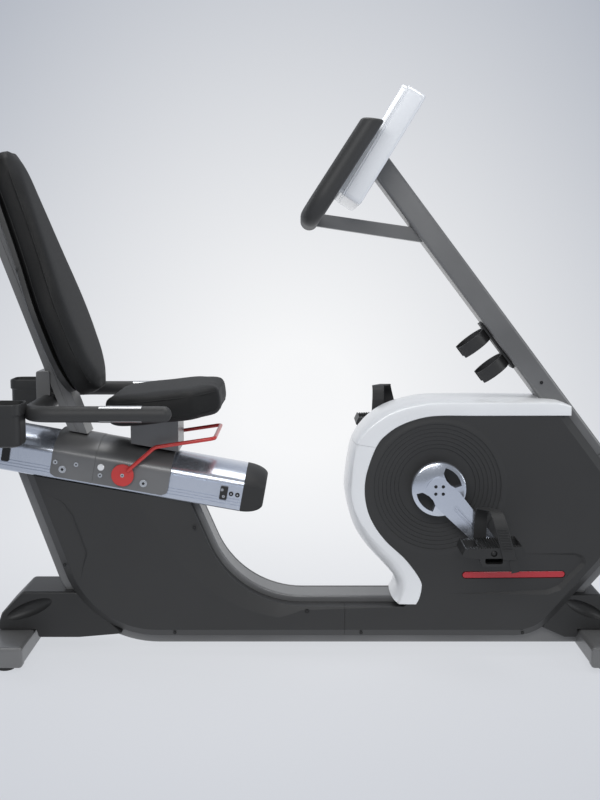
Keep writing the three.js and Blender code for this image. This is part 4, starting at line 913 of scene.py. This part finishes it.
for side, name, angle in CRANKS:
    disc = turned("disc", [(0, 104), (58, 104), (64, 107), (65, 112), (65, 120), (63.5, 124), (59, 126.5),
                           (40, 130), (0, 132)], at(CRANK), (0, side, 0), 72)
    corners = [(-30, -34, 30), (40, -31, 26), (CRANK_LENGTH + 20, -20, 19), (CRANK_LENGTH + 20, 20, 19),
               (40, 31, 26), (-30, 34, 30)]
    arm = plate("arm", rounded([(*about_crank(angle, u, v), r) for u, v, r in corners], True, 8),
                *span(side, 108, 134))
    cut(disc, arm, operation="UNION")
    tools = []
    for half in (-1, 1):
        lens = [(54, half * (58 + 6.4 * k), 0) for k in range(11)]
        lens += [(40, half * 124, 3), (28, half * 104, 5), (28, half * 74, 5), (38, half * 56, 3)]
        places = [(*about_crank(angle, r * math.cos(math.radians(t)), r * math.sin(math.radians(t))), b)
                  for r, t, b in lens]
        tools.append(plate("window", rounded(places, True, 14), -180, 180))
    slot = [(52, -6.5, 5.4), (139, -5, 4.2), (139, 5, 4.2), (52, 6.5, 5.4)]
    places = [(*about_crank(angle, u, v), r) for u, v, r in slot]
    tools.append(plate("slot", rounded(places, True, 12), *span(side, 128, 140)))
    holes = [at(about_crank(45 + 90 * quarter, 12.3, 0)) for quarter in range(4)]
    tools += [turned("hole", [(4, 126), (4, 140)], hole, (0, side, 0), 20) for hole in holes]
    tools.append(turned("bore", [(12.4, 90), (12.4, 124)], at(CRANK), (0, side, 0), 40))
    cut(disc, *tools)
    bevelled(disc, 0.9, 2, 28)
    end = at(about_crank(angle, CRANK_LENGTH, 0))
    pin = turned("pin", [(0, 120), (6.5, 120), (6.5, 242.5), (5, 244), (0, 244)], end, (0, side, 0), 24)
    nut = turned("nut", [(0, 133), (12, 133), (12, 141), (10.5, 142.5), (0, 142.5)], end, (0, side, 0), 6)
    stands_for(joined(f"crank_{name}_forged", disc, pin, nut), alloy, f"crank_{name}", smooth=26)
    ridge = [about_crank(angle, u, v) for u, v in ((60, -2.2), (134, -1.8), (134, 1.8), (60, 2.2))]
    web = plate(f"crank_{name}_slot_rib", ridge, *span(side, 127.5, 132.5))
    detail(bevelled(web, 0.5), alloy, f"crank_{name}")
    # The black discs at the bottoms of the four blind holes are painted shade, standing for the shade inside
    # the holes; the last disc caps the pedal pin's end.
    plug = [(0, 126.1), (3.9, 126.1), (3.9, 127), (2, 128), (0, 127.4)]
    dark_discs = [turned("plug", plug, hole, (0, side, 0), 20) for hole in holes]
    spindle_plug = [(0, 243), (6.3, 243), (6.3, 246), (4, 247.5), (0, 247.8)]
    dark_discs.append(turned("plug", spindle_plug, end, (0, side, 0), 24))
    detail(joined(f"crank_{name}_hole_plugs", *dark_discs), trim_black, f"crank_{name}")
print("crank pins at", [round(c) for c in about_crank(CRANK_ANGLE, CRANK_LENGTH, 0)])

# %% [markdown]
# ## Pedals and straps
# The pedal's tread is a row of teeth in its side outline, so the plate carries them across its whole
# width. The strap is a moulded band that leans forward as it crosses over the shoe, with a toothed tail.

# %% Pedals
PEDAL_NEAR, PEDAL_FAR, STRAP_HALF = 150, 250, 52.5
STRAP_SECTION = ((-15, -0.4), (-14, -1), (14, -1), (15, -0.4), (15, 0.4), (14, 1), (-14, 1), (-15, 0.4))


def teeth(start, end, count, depth):
    """A toothed line from start to end, teeth rising on its left."""
    a, b = Vector(start), Vector(end)
    along = (b - a) / count
    up = Vector((-along.y, along.x)).normalized() * depth
    line = []
    for k in range(count):
        here = a + along * k
        line += [tuple(here), tuple(here + along * 0.15 + up), tuple(here + along * 0.6 + up),
                 tuple(here + along * 0.75)]
    return line


for side, name, angle in CRANKS:
    x, z = about_crank(angle, CRANK_LENGTH, 0)
    low, high = span(side, PEDAL_NEAR, PEDAL_FAR)
    top = (teeth((-66, 9.5), (-23, 11), 7, 2) + teeth((-20, 11.6), (22, 12.6), 7, 2)
           + teeth((24, 13), (66, 15.5), 7, 2))
    lower = rounded([(-72, 6, 3), (-72, -8, 5), (-33, -12, 3), (-26, -30, 7), (26, -30, 7), (33, -12, 3),
                     (71, -5, 6), (73, 12, 5)])
    outline = [(x + a, z + b) for a, b in lower[1:-1] + top[::-1]]
    pedal = plate("pedal", outline, low, high)
    tools = [turned("bore", [(7.2, -300), (7.2, 300)], (x, 0, z), (0, 1, 0), 24)]
    for shift_x in (-48, 48):
        corners = [(x + shift_x + a, z + b, 0) for a, b in ((-14, -60), (14, -60), (14, 60), (-14, 60))]
        tools.append(plate("gap", rounded(corners, True), low + 18, high - 18))
    tools.append(plate("cavity", rounded([(x - 20, z - 24, 5), (x + 20, z - 24, 5), (x + 20, z - 11, 3),
                                          (x - 20, z - 11, 3)], True, 15), *span(side, 214, 260)))
    cut(pedal, *tools)
    stands_for(bevelled(pedal, 0.5, 1, 40), trim_black, f"pedal_{name}", smooth=30)
    middle = (low + high) / 2
    line = rounded([(-STRAP_HALF, -14), (-STRAP_HALF, 90, 38), (STRAP_HALF, 90, 38), (STRAP_HALF, -14)],
                   step=6)
    rings = []
    for k, (y, h) in enumerate(line):
        before, after = Vector(line[max(k - 1, 0)]), Vector(line[min(k + 1, len(line) - 1)])
        along = (after - before).normalized()
        out = Vector((along.y, -along.x)) * -1.6
        lean = 7 + 24 * max(0, 1 - h / 90) if side * y > 0 else -14 - 4 * max(0, 1 - h / 90)
        rings.append([(x + lean + dx, middle + y + out.x * push, z + h + out.y * push)
                      for dx, push in STRAP_SECTION])
    strap = loft("strap", rings)
    ribs = []
    rib_span = sorted((middle + side * 54.4, middle + side * 54.4 + side * 1.2))
    for rise in range(8, 62, 6):
        corners = ((-12, rise), (12, rise), (12, rise + 3), (-12, rise + 3))
        ribs.append(plate("rib", [(x + 31 - rise * 0.27 + a, z + b) for a, b in corners], *rib_span))
    tail_side = teeth((30, -2), (40, -46), 8, 1.2) + [(40, -46), (58, -42), (50, 2)]
    tail_plate = plate("tail", [(x + a, z + b) for a, b in tail_side], *span(side, 246, 249.5))
    stands_for(bevelled(joined(f"strap_{name}_band", strap, *ribs), 0.5, 1, 50), rubber, f"strap_{name}")
    detail(tail_plate, rubber, f"strap_{name}")
print("pedals stand from y", PEDAL_NEAR, "to", PEDAL_FAR, "on both sides")

# %% [markdown]
# ## The seat's release lever
# One bent round bar joins two discs, so pulling it anywhere turns both cams. Its bends are drawn as
# curves between straight lengths, which is what a bar bender leaves.

# %% Release lever
pivot = on_rail(-286, 40)
reach = [(10, -112.5, 9), (78, -112.5, 68, 8), (219, -112.5, 89, 14), (219, 112.5, 89, 14),
         (78, 112.5, 68, 8), (10, 112.5, 9)]
bar = rod("bar", [(pivot[0] + x, y, pivot[1] + z, *bend) for x, y, z, *bend in reach], 4.6, domes=True)
discs = [turned("disc", [(0, 101.7), (26, 101.7), (26.5, 102.5), (26.5, 108.4), (25.6, 109.4), (0, 109.6)],
                at(pivot), (0, side, 0), 64) for side in (-1, 1)]
stands_for(joined("release_lever_bent", bar, *discs), red, "release_lever")
print("lever pivot", [round(c, 1) for c in pivot])

# %% [markdown]
# ## Screws and bolts
# Screws repeat, so a node tree places them: a washer, a round head and a hexagon socket stand on each
# point. The point's own size scales its screw. Each set becomes one mesh that rides with its panel.

# %% Screw tree
def screw_tree(name, head, socket):
    tree = bpy.data.node_groups.new(name, "GeometryNodeTree")
    tree.interface.new_socket("Geometry", in_out="INPUT", socket_type="NodeSocketGeometry")
    for label in ("Head Radius", "Head Height", "Side"):
        tree.interface.new_socket(label, in_out="INPUT", socket_type="NodeSocketFloat")
    tree.interface.new_socket("Geometry", in_out="OUTPUT", socket_type="NodeSocketGeometry")
    add = tree.nodes.new
    link = tree.links.new
    inputs, output = add("NodeGroupInput"), add("NodeGroupOutput")
    parts = add("GeometryNodeJoinGeometry")
    for wide, deep, sides, is_socket in ((1.0, 0.5, 20, 0.0), (0.78, 1.0, 20, 0.0), (0.40, 1.06, 6, 1.0)):
        cylinder = add("GeometryNodeMeshCylinder")
        cylinder.inputs["Vertices"].default_value = sides
        cylinder.inputs["Side Segments"].default_value = 1
        for source, share, target in (("Head Radius", wide, "Radius"), ("Head Height", deep, "Depth")):
            times = add("ShaderNodeMath")
            times.operation = "MULTIPLY"
            times.inputs[1].default_value = share
            link(inputs.outputs[source], times.inputs[0])
            link(times.outputs[0], cylinder.inputs[target])
        mark = add("GeometryNodeStoreNamedAttribute")
        mark.data_type, mark.domain = "FLOAT", "FACE"
        mark.inputs["Name"].default_value = "is_socket"
        mark.inputs["Value"].default_value = is_socket
        link(cylinder.outputs["Mesh"], mark.inputs["Geometry"])
        link(mark.outputs["Geometry"], parts.inputs["Geometry"])
    tip = add("FunctionNodeInputVector")
    tip.vector = (math.radians(90), 0, 0)
    size = add("GeometryNodeInputNamedAttribute")
    size.data_type = "FLOAT"
    size.inputs["Name"].default_value = "size"
    stand = add("GeometryNodeInstanceOnPoints")
    link(inputs.outputs["Geometry"], stand.inputs["Points"])
    link(parts.outputs["Geometry"], stand.inputs["Instance"])
    link(tip.outputs["Vector"], stand.inputs["Rotation"])
    link(size.outputs["Attribute"], stand.inputs["Scale"])
    real = add("GeometryNodeRealizeInstances")
    link(stand.outputs["Instances"], real.inputs["Geometry"])
    chosen = add("GeometryNodeInputNamedAttribute")
    chosen.data_type = "FLOAT"
    chosen.inputs["Name"].default_value = "is_socket"
    above = add("FunctionNodeCompare")
    above.data_type, above.operation = "FLOAT", "GREATER_THAN"
    above.inputs["B"].default_value = 0.5
    link(chosen.outputs["Attribute"], above.inputs["A"])
    all_head, only_socket = add("GeometryNodeSetMaterial"), add("GeometryNodeSetMaterial")
    all_head.inputs["Material"].default_value = head
    only_socket.inputs["Material"].default_value = socket
    link(above.outputs["Result"], only_socket.inputs["Selection"])
    link(real.outputs["Geometry"], all_head.inputs["Geometry"])
    link(all_head.outputs["Geometry"], only_socket.inputs["Geometry"])
    link(only_socket.outputs["Geometry"], output.inputs["Geometry"])
    return tree


bright_screws = screw_tree("bright_screws", bright, dark_steel)
dark_screws = screw_tree("dark_screws", dark_steel, rubber)
socket_screws = screw_tree("socket_screws", dark_steel, bright)


def screws(name, tree, places, radius, height, beside):
    """`places` are (x, y, z) or (x, y, z, size), in the drawing's millimetres."""
    mesh = bpy.data.meshes.new(name)
    mesh.from_pydata([placed(*p[:3]) for p in places], [], [])
    sizes = mesh.attributes.new("size", "FLOAT", "POINT")
    for item, place in zip(sizes.data, places):
        item.value = place[3] if len(place) > 3 else 1.0
    obj = bpy.data.objects.new(name, mesh)
    scene.collection.objects.link(obj)
    nodes = obj.modifiers.new("screws", "NODES")
    nodes.node_group = tree
    keys = {i.name: i.identifier for i in tree.interface.items_tree if i.in_out == "INPUT"}
    nodes[keys["Head Radius"]] = radius * MM
    nodes[keys["Head Height"]] = height * MM
    obj.update_tag()
    bake(obj)
    obj.data.shade_smooth()
    obj.data.set_sharp_from_angle(angle=math.radians(35))
    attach(obj, body_of[beside])
    return obj


def both_sides(places, y):
    return [(p[0], side * y, p[1], *p[2:]) for side in (-1, 1) for p in places]


# %% Screws on the covers, the rail, the carriage and the mast
rear_screws = [(-564.3, 227.5), (-252.6, 318.7), (-302.4, 60)]
screws("rear_cover_screws", dark_screws, both_sides(rear_screws, 90.4), 4.2, 3.2, "rear_cover_right")
screws("front_cover_screws", dark_screws, both_sides([(147.6, 59.3), (537.7, 59.3)], 90.0), 4.2, 3.2,
       "front_cover_right")
screws("shell_screws", dark_screws, both_sides([(16.9, 113.6, 1.3)], 91.5), 4.2, 3.2, "rear_cover_right")
small = [(-586.1 + 8, 483.7 - 4), (-529.1, 473.4), (-473.2, 447.5)]
large = [(-562.1, 462.1), (-371, 428.2)]
screws("carriage_screws", bright_screws, both_sides([(*p, 0.62) for p in small] + large, 102.2), 9, 5,
       "seat_carriage")
screws("rail_bolts", socket_screws, both_sides([(-164, 401), (-149, 398)], 92.8), 5.4, 4,
       "seat_rail")
screws("stop_screws", bright_screws, both_sides([(-184.8, 412), (-182, 396)], 98.4), 3.4, 2, "seat_rail")
screws("lever_screws", bright_screws, both_sides([pivot], 110.4), 4.6, 3, "release_lever")
mast_screw = on_mast(430, 27)
screws("mast_screws", dark_screws, both_sides([mast_screw], 45.6), 4, 2.4, "mast_tube")

# %% Index pin beside the lever
INDEX_PIN = (-470.9, 466.9)
for side, name in SIDES:
    pin = turned(f"index_pin_{name}", [(0, 100.4), (8, 100.4), (8, 103), (7, 104), (0, 104.2)],
                 at(INDEX_PIN), (0, side, 0), 40)
    detail(pin, silver, "seat_carriage")
print("index pins at", INDEX_PIN)

# %% [markdown]
# ## Stabilisers, feet and wheels
# Each stabiliser is a wide flat beam with closed ends, under a moulded saddle that meets the frame tube.
# The saddle's cheek is dished so a hand can lift the bike there.

# %% Beams and their end caps
REAR_X, FRONT_X = -691.7, 723.3


def beam_ring(x, y, grow):
    low, high, half = 12 - grow, 60 + grow, 45 + grow
    corners = [(x - half, low, 9), (x + half, low, 9), (x + half, high, 9), (x - half, high, 9)]
    return [at(p, y) for p in rounded(corners, True, 15)]


for end, x in (("rear", REAR_X), ("front", FRONT_X)):
    beam = loft(f"{end}_beam", [beam_ring(x, y, g) for y, g in
                                ((-196, -2), (-195, 0), (195, 0), (196, -2))])
    if end == "front":
        for side in (-1, 1):
            pocket = [(737, 5), (790, 5), (790, 70), (737, 70)]
            cut(beam, plate("pocket", pocket, *span(side, 85, 135)))
    stands_for(beam, paint, f"{end}_stabilizer")
    for side, name in SIDES:
        rows = [beam_ring(x, side * y, g) for y, g in
                ((184, 1.2), (201, 1.2), (204.5, -0.5), (206.5, -5), (207, -12))]
        detail(loft(f"{end}_beam_cap_{name}", rows), paint, f"{end}_stabilizer")
        foot = [(0, 0), (19, 0), (22, 2), (22, 9), (20, 12), (9, 13), (8, 14), (8, 28), (0, 28)]
        pad = turned(f"foot_{end}_{name}_moulded", foot, (x, side * 172, 0), (0, 0, 1), 48)
        stands_for(pad, rubber, f"foot_{end}_{name}")
for side, name in SIDES:
    tread = [(0, -21), (12, -21), (17, -20), (20, -16), (20, -6), (18.6, -5), (18.6, 5), (20, 6), (20, 16),
             (17, 20), (12, 21), (0, 21)]
    wheel = turned(f"transport_wheel_{name}_moulded", tread, (760.3, side * 110, 36), (0, 1, 0), 48)
    stands_for(wheel, rubber, f"transport_wheel_{name}")

# %% Saddles over the beams
saddles = {
    "rear": (REAR_X, [(-47, 62, 3), (-33, 102, 14), (18, 155, 16), (150, 155, 12), (252, 60, 6), (260, 50, 3),
                      (156, 41, 20), (55, 41, 6), (49, 61.5, 2)], (35, 112, 62, 19, 22)),
    "front": (FRONT_X, [(-134, 66, 3), (-80, 41, 12), (-49.5, 41, 5), (-49, 61.5, 2), (47, 62, 3),
                        (33, 102, 14),
                        (8, 148, 16), (-110, 148, 12)], (-32, 112, 52, 17, -24)),
}
for end, (x, corners, (sx, sz, long, tall, tilt)) in saddles.items():
    outline = rounded([(x + a, b, r) for a, b, r in corners], True, 12)
    cx, cz = (sum(p[k] for p in outline) / len(outline) for k in (0, 1))
    rows = []
    for y, shrink in ((-72, 0.955), (-71, 0.975), (-67, 1), (67, 1), (71, 0.975), (72, 0.955)):
        rows.append([(cx + (px - cx) * shrink, y, cz + (pz - cz) * shrink) for px, pz in outline])
    saddle = loft(f"{end}_saddle", rows)
    c, s = heading(tilt)
    for side in (-1, 1):
        rings = []
        for k in range(1, 16):
            share, y = math.sin(math.pi * k / 16), side * (78 - 20 * math.cos(math.pi * k / 16))
            rings.append([(x + sx + long * u * share * c - tall * v * share * s, y,
                           sz + long * u * share * s + tall * v * share * c) for u, v in circle(40)])
        cut(saddle, loft("scoop", rings))
    stands_for(bevelled(saddle, 1.2, 2, 40), trim_black, f"{end}_stabilizer_cover", smooth=24)
print("beams at", REAR_X, FRONT_X)

# %% [markdown]
# ## Console
# The console is a shallow painted case with a silver frame round its dark window. Its case is a stack of
# outlines along its depth; a fine gap between case and frame shows that they are two mouldings.

# %% Case, frame, window and keys
def console_part(name, size, layers, caps=True):
    """`size` is low, high, half width and corner radius on the face; `layers` are (out, shrink)."""
    low, high, half, radius = size
    rings = []
    for out, shrink in layers:
        side = half - shrink
        corners = [(low + shrink, -side, radius), (high - shrink, -side, radius),
                   (high - shrink, side, radius), (low + shrink, side, radius)]
        rings.append([at(on_console(u, out), y) for u, y in rounded(corners, True, 9)])
    return loft(name, rings, caps)


CONSOLE_KEYS = ((-48, "right"), (0, "middle"), (48, "left"))
key_row = on_console(34, 0)
case = console_part("console_case", (0, 280, 187, 10), (
    (-47, 6), (-46, 2.5), (-43, 0.6), (-41, 0), (-6, 0), (-5, 1.6), (-3.6, 1.6), (-2.6, 0), (-0.4, 0)))
stands_for(case, case_silver, "console_housing", smooth=40)
rim = ((0.1, 0), (9, 0), (11.5, 1.5), (12, 4), (12, 16), (8.5, 19), (0.1, 19.4))
bezel = console_part("console_frame", (2, 276, 184, 10), rim + rim[:1], caps=False)
stands_for(bezel, case_silver, "console_bezel", smooth=35)
window = console_part("console_window", (62, 256, 164, 14), ((0.5, 0), (8.8, 0), (9.6, 1.2)))
ground = console_part("console_face", (21.6, 256.4, 164.4, 12), ((0.2, 0), (6.0, 0)))
panel = console_part("console_key_panel", (21, 58, 164, 12), ((0.4, 0), (7.6, 0), (8.2, 1.0)))
for face in (ground, panel):
    for y, _ in CONSOLE_KEYS:
        cut(face, turned("bore", [(8.8, -20), (8.8, 30)], at(key_row, y), CONSOLE_OUT, 32))
for piece, material in ((ground, trim_black), (window, glass), (panel, trim_black)):
    detail(piece, material, "console_bezel")
key_profile = [(0, 2.2), (7.6, 2.2), (8, 3), (8, 12.5), (7, 14), (4.5, 13.6), (0, 13.4)]
for y, name in CONSOLE_KEYS:
    key = turned(f"console_key_{name}_moulded", key_profile, at(key_row, y), CONSOLE_OUT, 32)
    stands_for(key, plate_steel, f"console_key_{name}")
print("console keys at", [round(c) for c in key_row])

# %% Handlebar, its arm and the bottle holder
HORN_HALF = 232
horn_low, horn_end = on_console(-78, 34), on_console(215, 26)
horn = rod("console_horn", [at(horn_end, -HORN_HALF), (*at(horn_low, -HORN_HALF), 62),
                            (*at(horn_low, HORN_HALF), 62), at(horn_end, HORN_HALF)], 22.5, 36)
trimmed(horn, (0, 0, 1277), (0.12, 0, 1))
bevelled(horn, 6, 4, 40)
stands_for(horn, foam, "console_handlebar", smooth=50)
x, z = horn_low
arm = plate("handlebar_arm", rounded([(x + 14, z + 14, 3), (x + 14, z - 17, 3), (x + 282, z - 57, 0),
                                      (x + 262, z - 22, 0)], True, 20), -25, 25)
stands_for(bevelled(arm, 2, 2, 30), paint, "handlebar_bracket")

RING_SECTION = ((39, -14), (40, -15), (42, -15), (43, -14), (43, 14), (42, 15), (40, 15), (39, 14))
holder_plate = [on_mast(494, 53.3), on_mast(628, 53.3), on_mast(628, 60), on_mast(494, 60)]
holder = [bevelled(plate("plate", holder_plate, -22, 22), 1.5)]
toward, up = Vector(on_mast(0, 0)) - Vector(on_mast(0, 1)), Vector(on_mast(1)) - Vector(on_mast(0))
for distance in (508, 584):
    centre = Vector(on_mast(distance + 15, 100))
    rings = []
    for k in range(49):
        turn = math.radians(-55 + 290 * k / 48)
        rings.append([])
        for radius, lift in RING_SECTION:
            place = centre + up * lift + toward * math.sin(turn) * radius
            rings[-1].append((place.x, radius * math.cos(turn), place.y))
    holder.append(loft("ring", rings))
stands_for(joined("bottle_holder_moulded", *holder), trim_black, "bottle_holder", smooth=40)
print("handlebar from", [round(c) for c in horn_low], "to", [round(c) for c in horn_end])

# %% [markdown]
# ## Seat, backrest and what carries them
# Upholstery is a cover pulled over foam, so the pads are blown up as cloth from a slightly smaller shape
# and then fitted to their size. Piping is laid afterwards on the surface that results.

# %% Cushion helpers
VOXEL_SIZE, COVER_PRESSURE, EVEN_ROUNDS = 5.0, 3.0, 16


def closed_cord(name, line, radius):
    rings = []
    for i, here in enumerate(line):
        along = (line[(i + 1) % len(line)] - line[i - 1]).normalized()
        side = (side - along * side.dot(along)).normalized() if rings else along.orthogonal().normalized()
        across = along.cross(side)
        rings.append([tuple(here + (side * c + across * s) * radius) for c, s in circle(10)])
    return loft(name, rings + rings[:1], caps=False)


def blown(obj, node, reach=10):
    """Even mesh, cloth under pressure with its wrinkles evened out, then scaled into the node's own box."""
    even = obj.modifiers.new("even", "REMESH")
    even.mode = "VOXEL"
    even.voxel_size = VOXEL_SIZE * MM
    bake(obj)
    before = [v.co.copy() for v in obj.data.vertices]
    cloth = obj.modifiers.new("cover", "CLOTH")
    cloth.settings.quality = 5
    cloth.settings.mass = 0.4
    cloth.settings.use_pressure = True
    cloth.settings.uniform_pressure_force = COVER_PRESSURE
    cloth.settings.effector_weights.gravity = 0
    cloth.collision_settings.use_collision = False
    for frame_number in range(1, 21):
        scene.frame_set(frame_number)
    bake(obj)
    moves = [vertex.co - start for vertex, start in zip(obj.data.vertices, before)]
    moves = [move.normalized() * min(move.length, reach * MM) for move in moves]
    links = [tuple(edge.vertices) for edge in obj.data.edges]
    for _ in range(EVEN_ROUNDS):
        sums, shares = [move.copy() for move in moves], [1] * len(moves)
        for a, b in links:
            sums[a] += moves[b]
            sums[b] += moves[a]
            shares[a] += 1
            shares[b] += 1
        moves = [total / share for total, share in zip(sums, shares)]
    for vertex, start, move in zip(obj.data.vertices, before, moves):
        vertex.co = start + move
    scene.frame_set(1)
    soft = obj.modifiers.new("soft", "SMOOTH")
    soft.factor = 0.5
    soft.iterations = 4
    finer = obj.modifiers.new("finer", "SUBSURF")
    finer.levels = finer.render_levels = 1
    bake(obj)
    lower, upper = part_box(node)
    low = Vector(min(v.co[k] for v in obj.data.vertices) for k in range(3))
    high = Vector(max(v.co[k] for v in obj.data.vertices) for k in range(3))
    for vertex in obj.data.vertices:
        vertex.co = Vector(lower[k] + (vertex.co[k] - low[k]) * (upper[k] - lower[k]) / (high[k] - low[k])
                           for k in range(3))
    return obj


print("cushion covers: mesh of", VOXEL_SIZE, "mm, evened", EVEN_ROUNDS, "times")

# %% Seat pad
SEAT_TILT, SEAT_AT = 6.2, (-321, 580)


def on_seat(forward, up):
    c, s = heading(SEAT_TILT)
    return SEAT_AT[0] + forward * c - up * s, SEAT_AT[1] + forward * s + up * c


seat_plan = rounded([(-136, -150, 48), (-60, -178, 60), (66, -180, 34), (124, -112, 34), (124, 112, 34),
                     (66, 180, 34), (-60, 178, 60), (-136, 150, 48)], True, 8)
rings = []
for up, share in ((2, 0.86), (4, 0.93), (10, 0.975), (20, 1), (52, 1), (60, 0.985), (65, 0.95), (67, 0.88)):
    rings.append([at(on_seat(f * share, up), y * share) for f, y in seat_plan])
seat = blown(loft("seat_cushion", rings), "seat_pad", reach=4)


def surface_line(obj, rays):
    """Where rays, as (start, direction), first meet the cushion, in the drawing's millimetres."""
    found = [obj.ray_cast(start, direction) for start, direction in rays]
    return [drawn(place) for hit, place, *_ in found if hit]


def smoothed(line, rounds=6):
    for _ in range(rounds):
        line = [(line[i - 1] + line[i] * 2 + line[(i + 1) % len(line)]) / 4 for i in range(len(line))]
    return line


tilt = Matrix.Rotation(math.radians(-SEAT_TILT), 3, "Y")
for label, height in (("upper", 55), ("lower", 12)):
    middle = Vector(placed(*at(on_seat(-6, height))))
    outward = [tilt @ Vector((c, s, 0)) for c, s in circle(160)]
    line = smoothed(surface_line(seat, [(middle + ray * 0.9, -ray) for ray in outward]))
    detail(closed_cord(f"seat_{label}_piping", line, 1.7), vinyl, "seat_pad")
stands_for(seat, vinyl, "seat_pad", smooth=80)
print("seat pad:", len(seat.data.polygons), "faces")

# %% Backrest pad, shell and post
BACKREST_TILT, BACKREST_AT = 110.2, (-511, 682)


def on_backrest(up, ahead):
    c, s = heading(BACKREST_TILT)
    return BACKREST_AT[0] + up * c + ahead * s, BACKREST_AT[1] + up * s - ahead * c


widths = [(-46, 60), (-34, 92), (-4, 130), (40, 158), (110, 168), (190, 163), (310, 124), (430, 98),
          (500, 88), (540, 74), (556, 50)]
width_line = along_line(widths, 46)


def backrest_rings(section, share):
    """`section` is (part of the half width, ahead); `share` draws the outline in about its middle."""
    return [[at(on_backrest(255 + (up - 255) * share, ahead), y * half * share) for y, ahead in section]
            for up, half in width_line]


pad_section = [(math.copysign(abs(c) ** 0.42, c) * 0.97, -5 + math.copysign(abs(s) ** 0.42, s) * 24)
               for c, s in circle(40)]
backrest = blown(loft("backrest_cushion", backrest_rings(pad_section, 0.97)), "backrest_pad")
for label, ahead in (("front", 12), ("rear", -22)):
    rays = [(placed(*at(on_backrest(up, ahead), 500)), (0, -1, 0)) for up, _ in width_line[2:-2]]
    line = surface_line(backrest, rays)
    mirrored = [Vector((p.x, -p.y, p.z)) for p in line[::-1]]
    piping = closed_cord(f"backrest_{label}_piping", smoothed(line + mirrored, 3), 1.9)
    detail(piping, vinyl, "backrest_pad")
stands_for(backrest, vinyl, "backrest_pad", smooth=80)

shell_section = [(-1, -34), (-1, -46), (-0.96, -50), (0, -50), (0.96, -50), (1, -46), (1, -34), (0, -33)]
shell = loft("backrest_back", backrest_rings(shell_section, 0.94))
stands_for(bevelled(shell, 1, 2, 50), trim_black, "backrest_shell", smooth=40)

top_of_carriage = at(on_rail(CARRIAGE_SEAM, RAIL_TOP + 9.6))
rail_down = tuple(-Vector(RAIL_UP))


def backrest_bar(name, low, high, rear, front, y0, y1):
    return plate(name, [on_backrest(low, front), on_backrest(low, rear), on_backrest(high, rear),
                        on_backrest(high, front)], y0, y1)


post = backrest_bar("backrest_post_bar", -190, 415, -90, -51, -42, 42)
trimmed(post, top_of_carriage, rail_down)
cut(post, *[backrest_bar("groove", -260, 500, -73, -68, *span(side, 40.6, 50)) for side in (-1, 1)])
stands_for(bevelled(post, 3.2, 3, 40), paint, "backrest_post")
print("backrest pad:", len(backrest.data.polygons), "faces")

# %% Seat bracket
bracket = plate("seat_bracket_bent", [(-404.5, 460), (-290.5, 460), (-290.5, 600), (-404.5, 600)], -66, 66)
trimmed(bracket, top_of_carriage, rail_down)
trimmed(bracket, at(on_seat(0, -0.6)), at(heading(90 + SEAT_TILT)))
cut(bracket, plate("inside", [(-398, 440), (-297, 440), (-297, 640), (-398, 640)], -60, 60))
stands_for(bevelled(bracket, 2, 2, 40), paint, "seat_bracket")
print("carriage top plane passes", [round(c) for c in top_of_carriage])

# %% [markdown]
# ## Side handlebar and trays
# One round tube is bent round behind the seat; its grips end in domes, and thin metal plates on top and
# underneath read the pulse. The trays are open boxes with a deeper rim band.

# %% Side handlebar, sensor plates and clamp
GRIP_END, GRIP_REAR, GRIP_HALF, GRIP_HEIGHT = -283.7, -606, 264, 615
bar = rod("side_bar", [(GRIP_END, -GRIP_HALF, GRIP_HEIGHT), (GRIP_REAR, -GRIP_HALF, GRIP_HEIGHT, 60),
                       (GRIP_REAR, GRIP_HALF, GRIP_HEIGHT, 60), (GRIP_END, GRIP_HALF, GRIP_HEIGHT)],
          18.2, 32, domes=True)
stands_for(bar, foam, "side_handlebar", smooth=50)
for side, name in SIDES:
    for up, label in ((1, "upper"), (-1, "lower")):
        rings = []
        for x, push in ((-444, -0.6), (-443, 0.5), (-350, 0.5), (-349, -0.6)):
            arc = [heading(90 * up + t) for t in range(-42, 43, 6)]
            line = [(18.3 + push, c, s) for c, s in arc] + [(16, c, s) for c, s in arc[::-1]]
            rings.append([(x, side * GRIP_HALF + r * c, GRIP_HEIGHT + r * s) for r, c, s in line])
        detail(loft(f"pulse_plate_{label}_{name}", rings), plate_steel, "side_handlebar")
clamp_corners = [(-631, 586, 9), (-598, 586, 9), (-598, 690, 6), (-631, 690, 6)]
clamp = plate("handlebar_clamp_block", rounded(clamp_corners, True, 12), -48, 48)
stands_for(bevelled(clamp, 1.5), paint, "handlebar_clamp")
print("grips are", 2 * GRIP_HALF, "mm apart")

# %% Trays
TRAY_LAYERS = ((546, -14), (545.5, -10), (549, -4.5), (556, -3), (614, -3), (616, -1.5), (618, 0), (638, 0),
               (640.5, -0.8), (641, -2), (640, -3.4), (620, -5), (554, -6), (550, -9), (549, -14))


def tray_ring(side, z, grow):
    x0, x1, y0, y1 = -764 - grow, -609.5 + grow, 220 - grow, 308 + grow
    corners = [(x0, y0, 20), (x1, y0, 20), (x1, y1, 20), (x0, y1, 20)]
    return [(x, side * y, z) for x, y in rounded(corners, True, 10)]


for side, name in SIDES:
    tray = loft(f"tray_{name}_moulded", [tray_ring(side, z, grow) for z, grow in TRAY_LAYERS])
    stands_for(tray, trim_black, f"tray_{name}", smooth=40)
print("trays end at z", max(z for z, _ in TRAY_LAYERS))

# %% [markdown]
# ## What stays as it came
# The drive inside the housing is machined metal with the right shape already, so only its finish changes.

# %% Finish for the drive and the end
inner_finish = {"bottom_bracket": paint, "drive_belt": rubber, "flywheel_yoke": paint,
                "brake_magnets": dark_steel, "crank_axle": bright, "drive_pulley": trim_black,
                "flywheel": iron, "idler_pulley": trim_black}
for name, chosen in inner_finish.items():
    for part_slot in bpy.data.objects[name].material_slots:
        part_slot.material = chosen
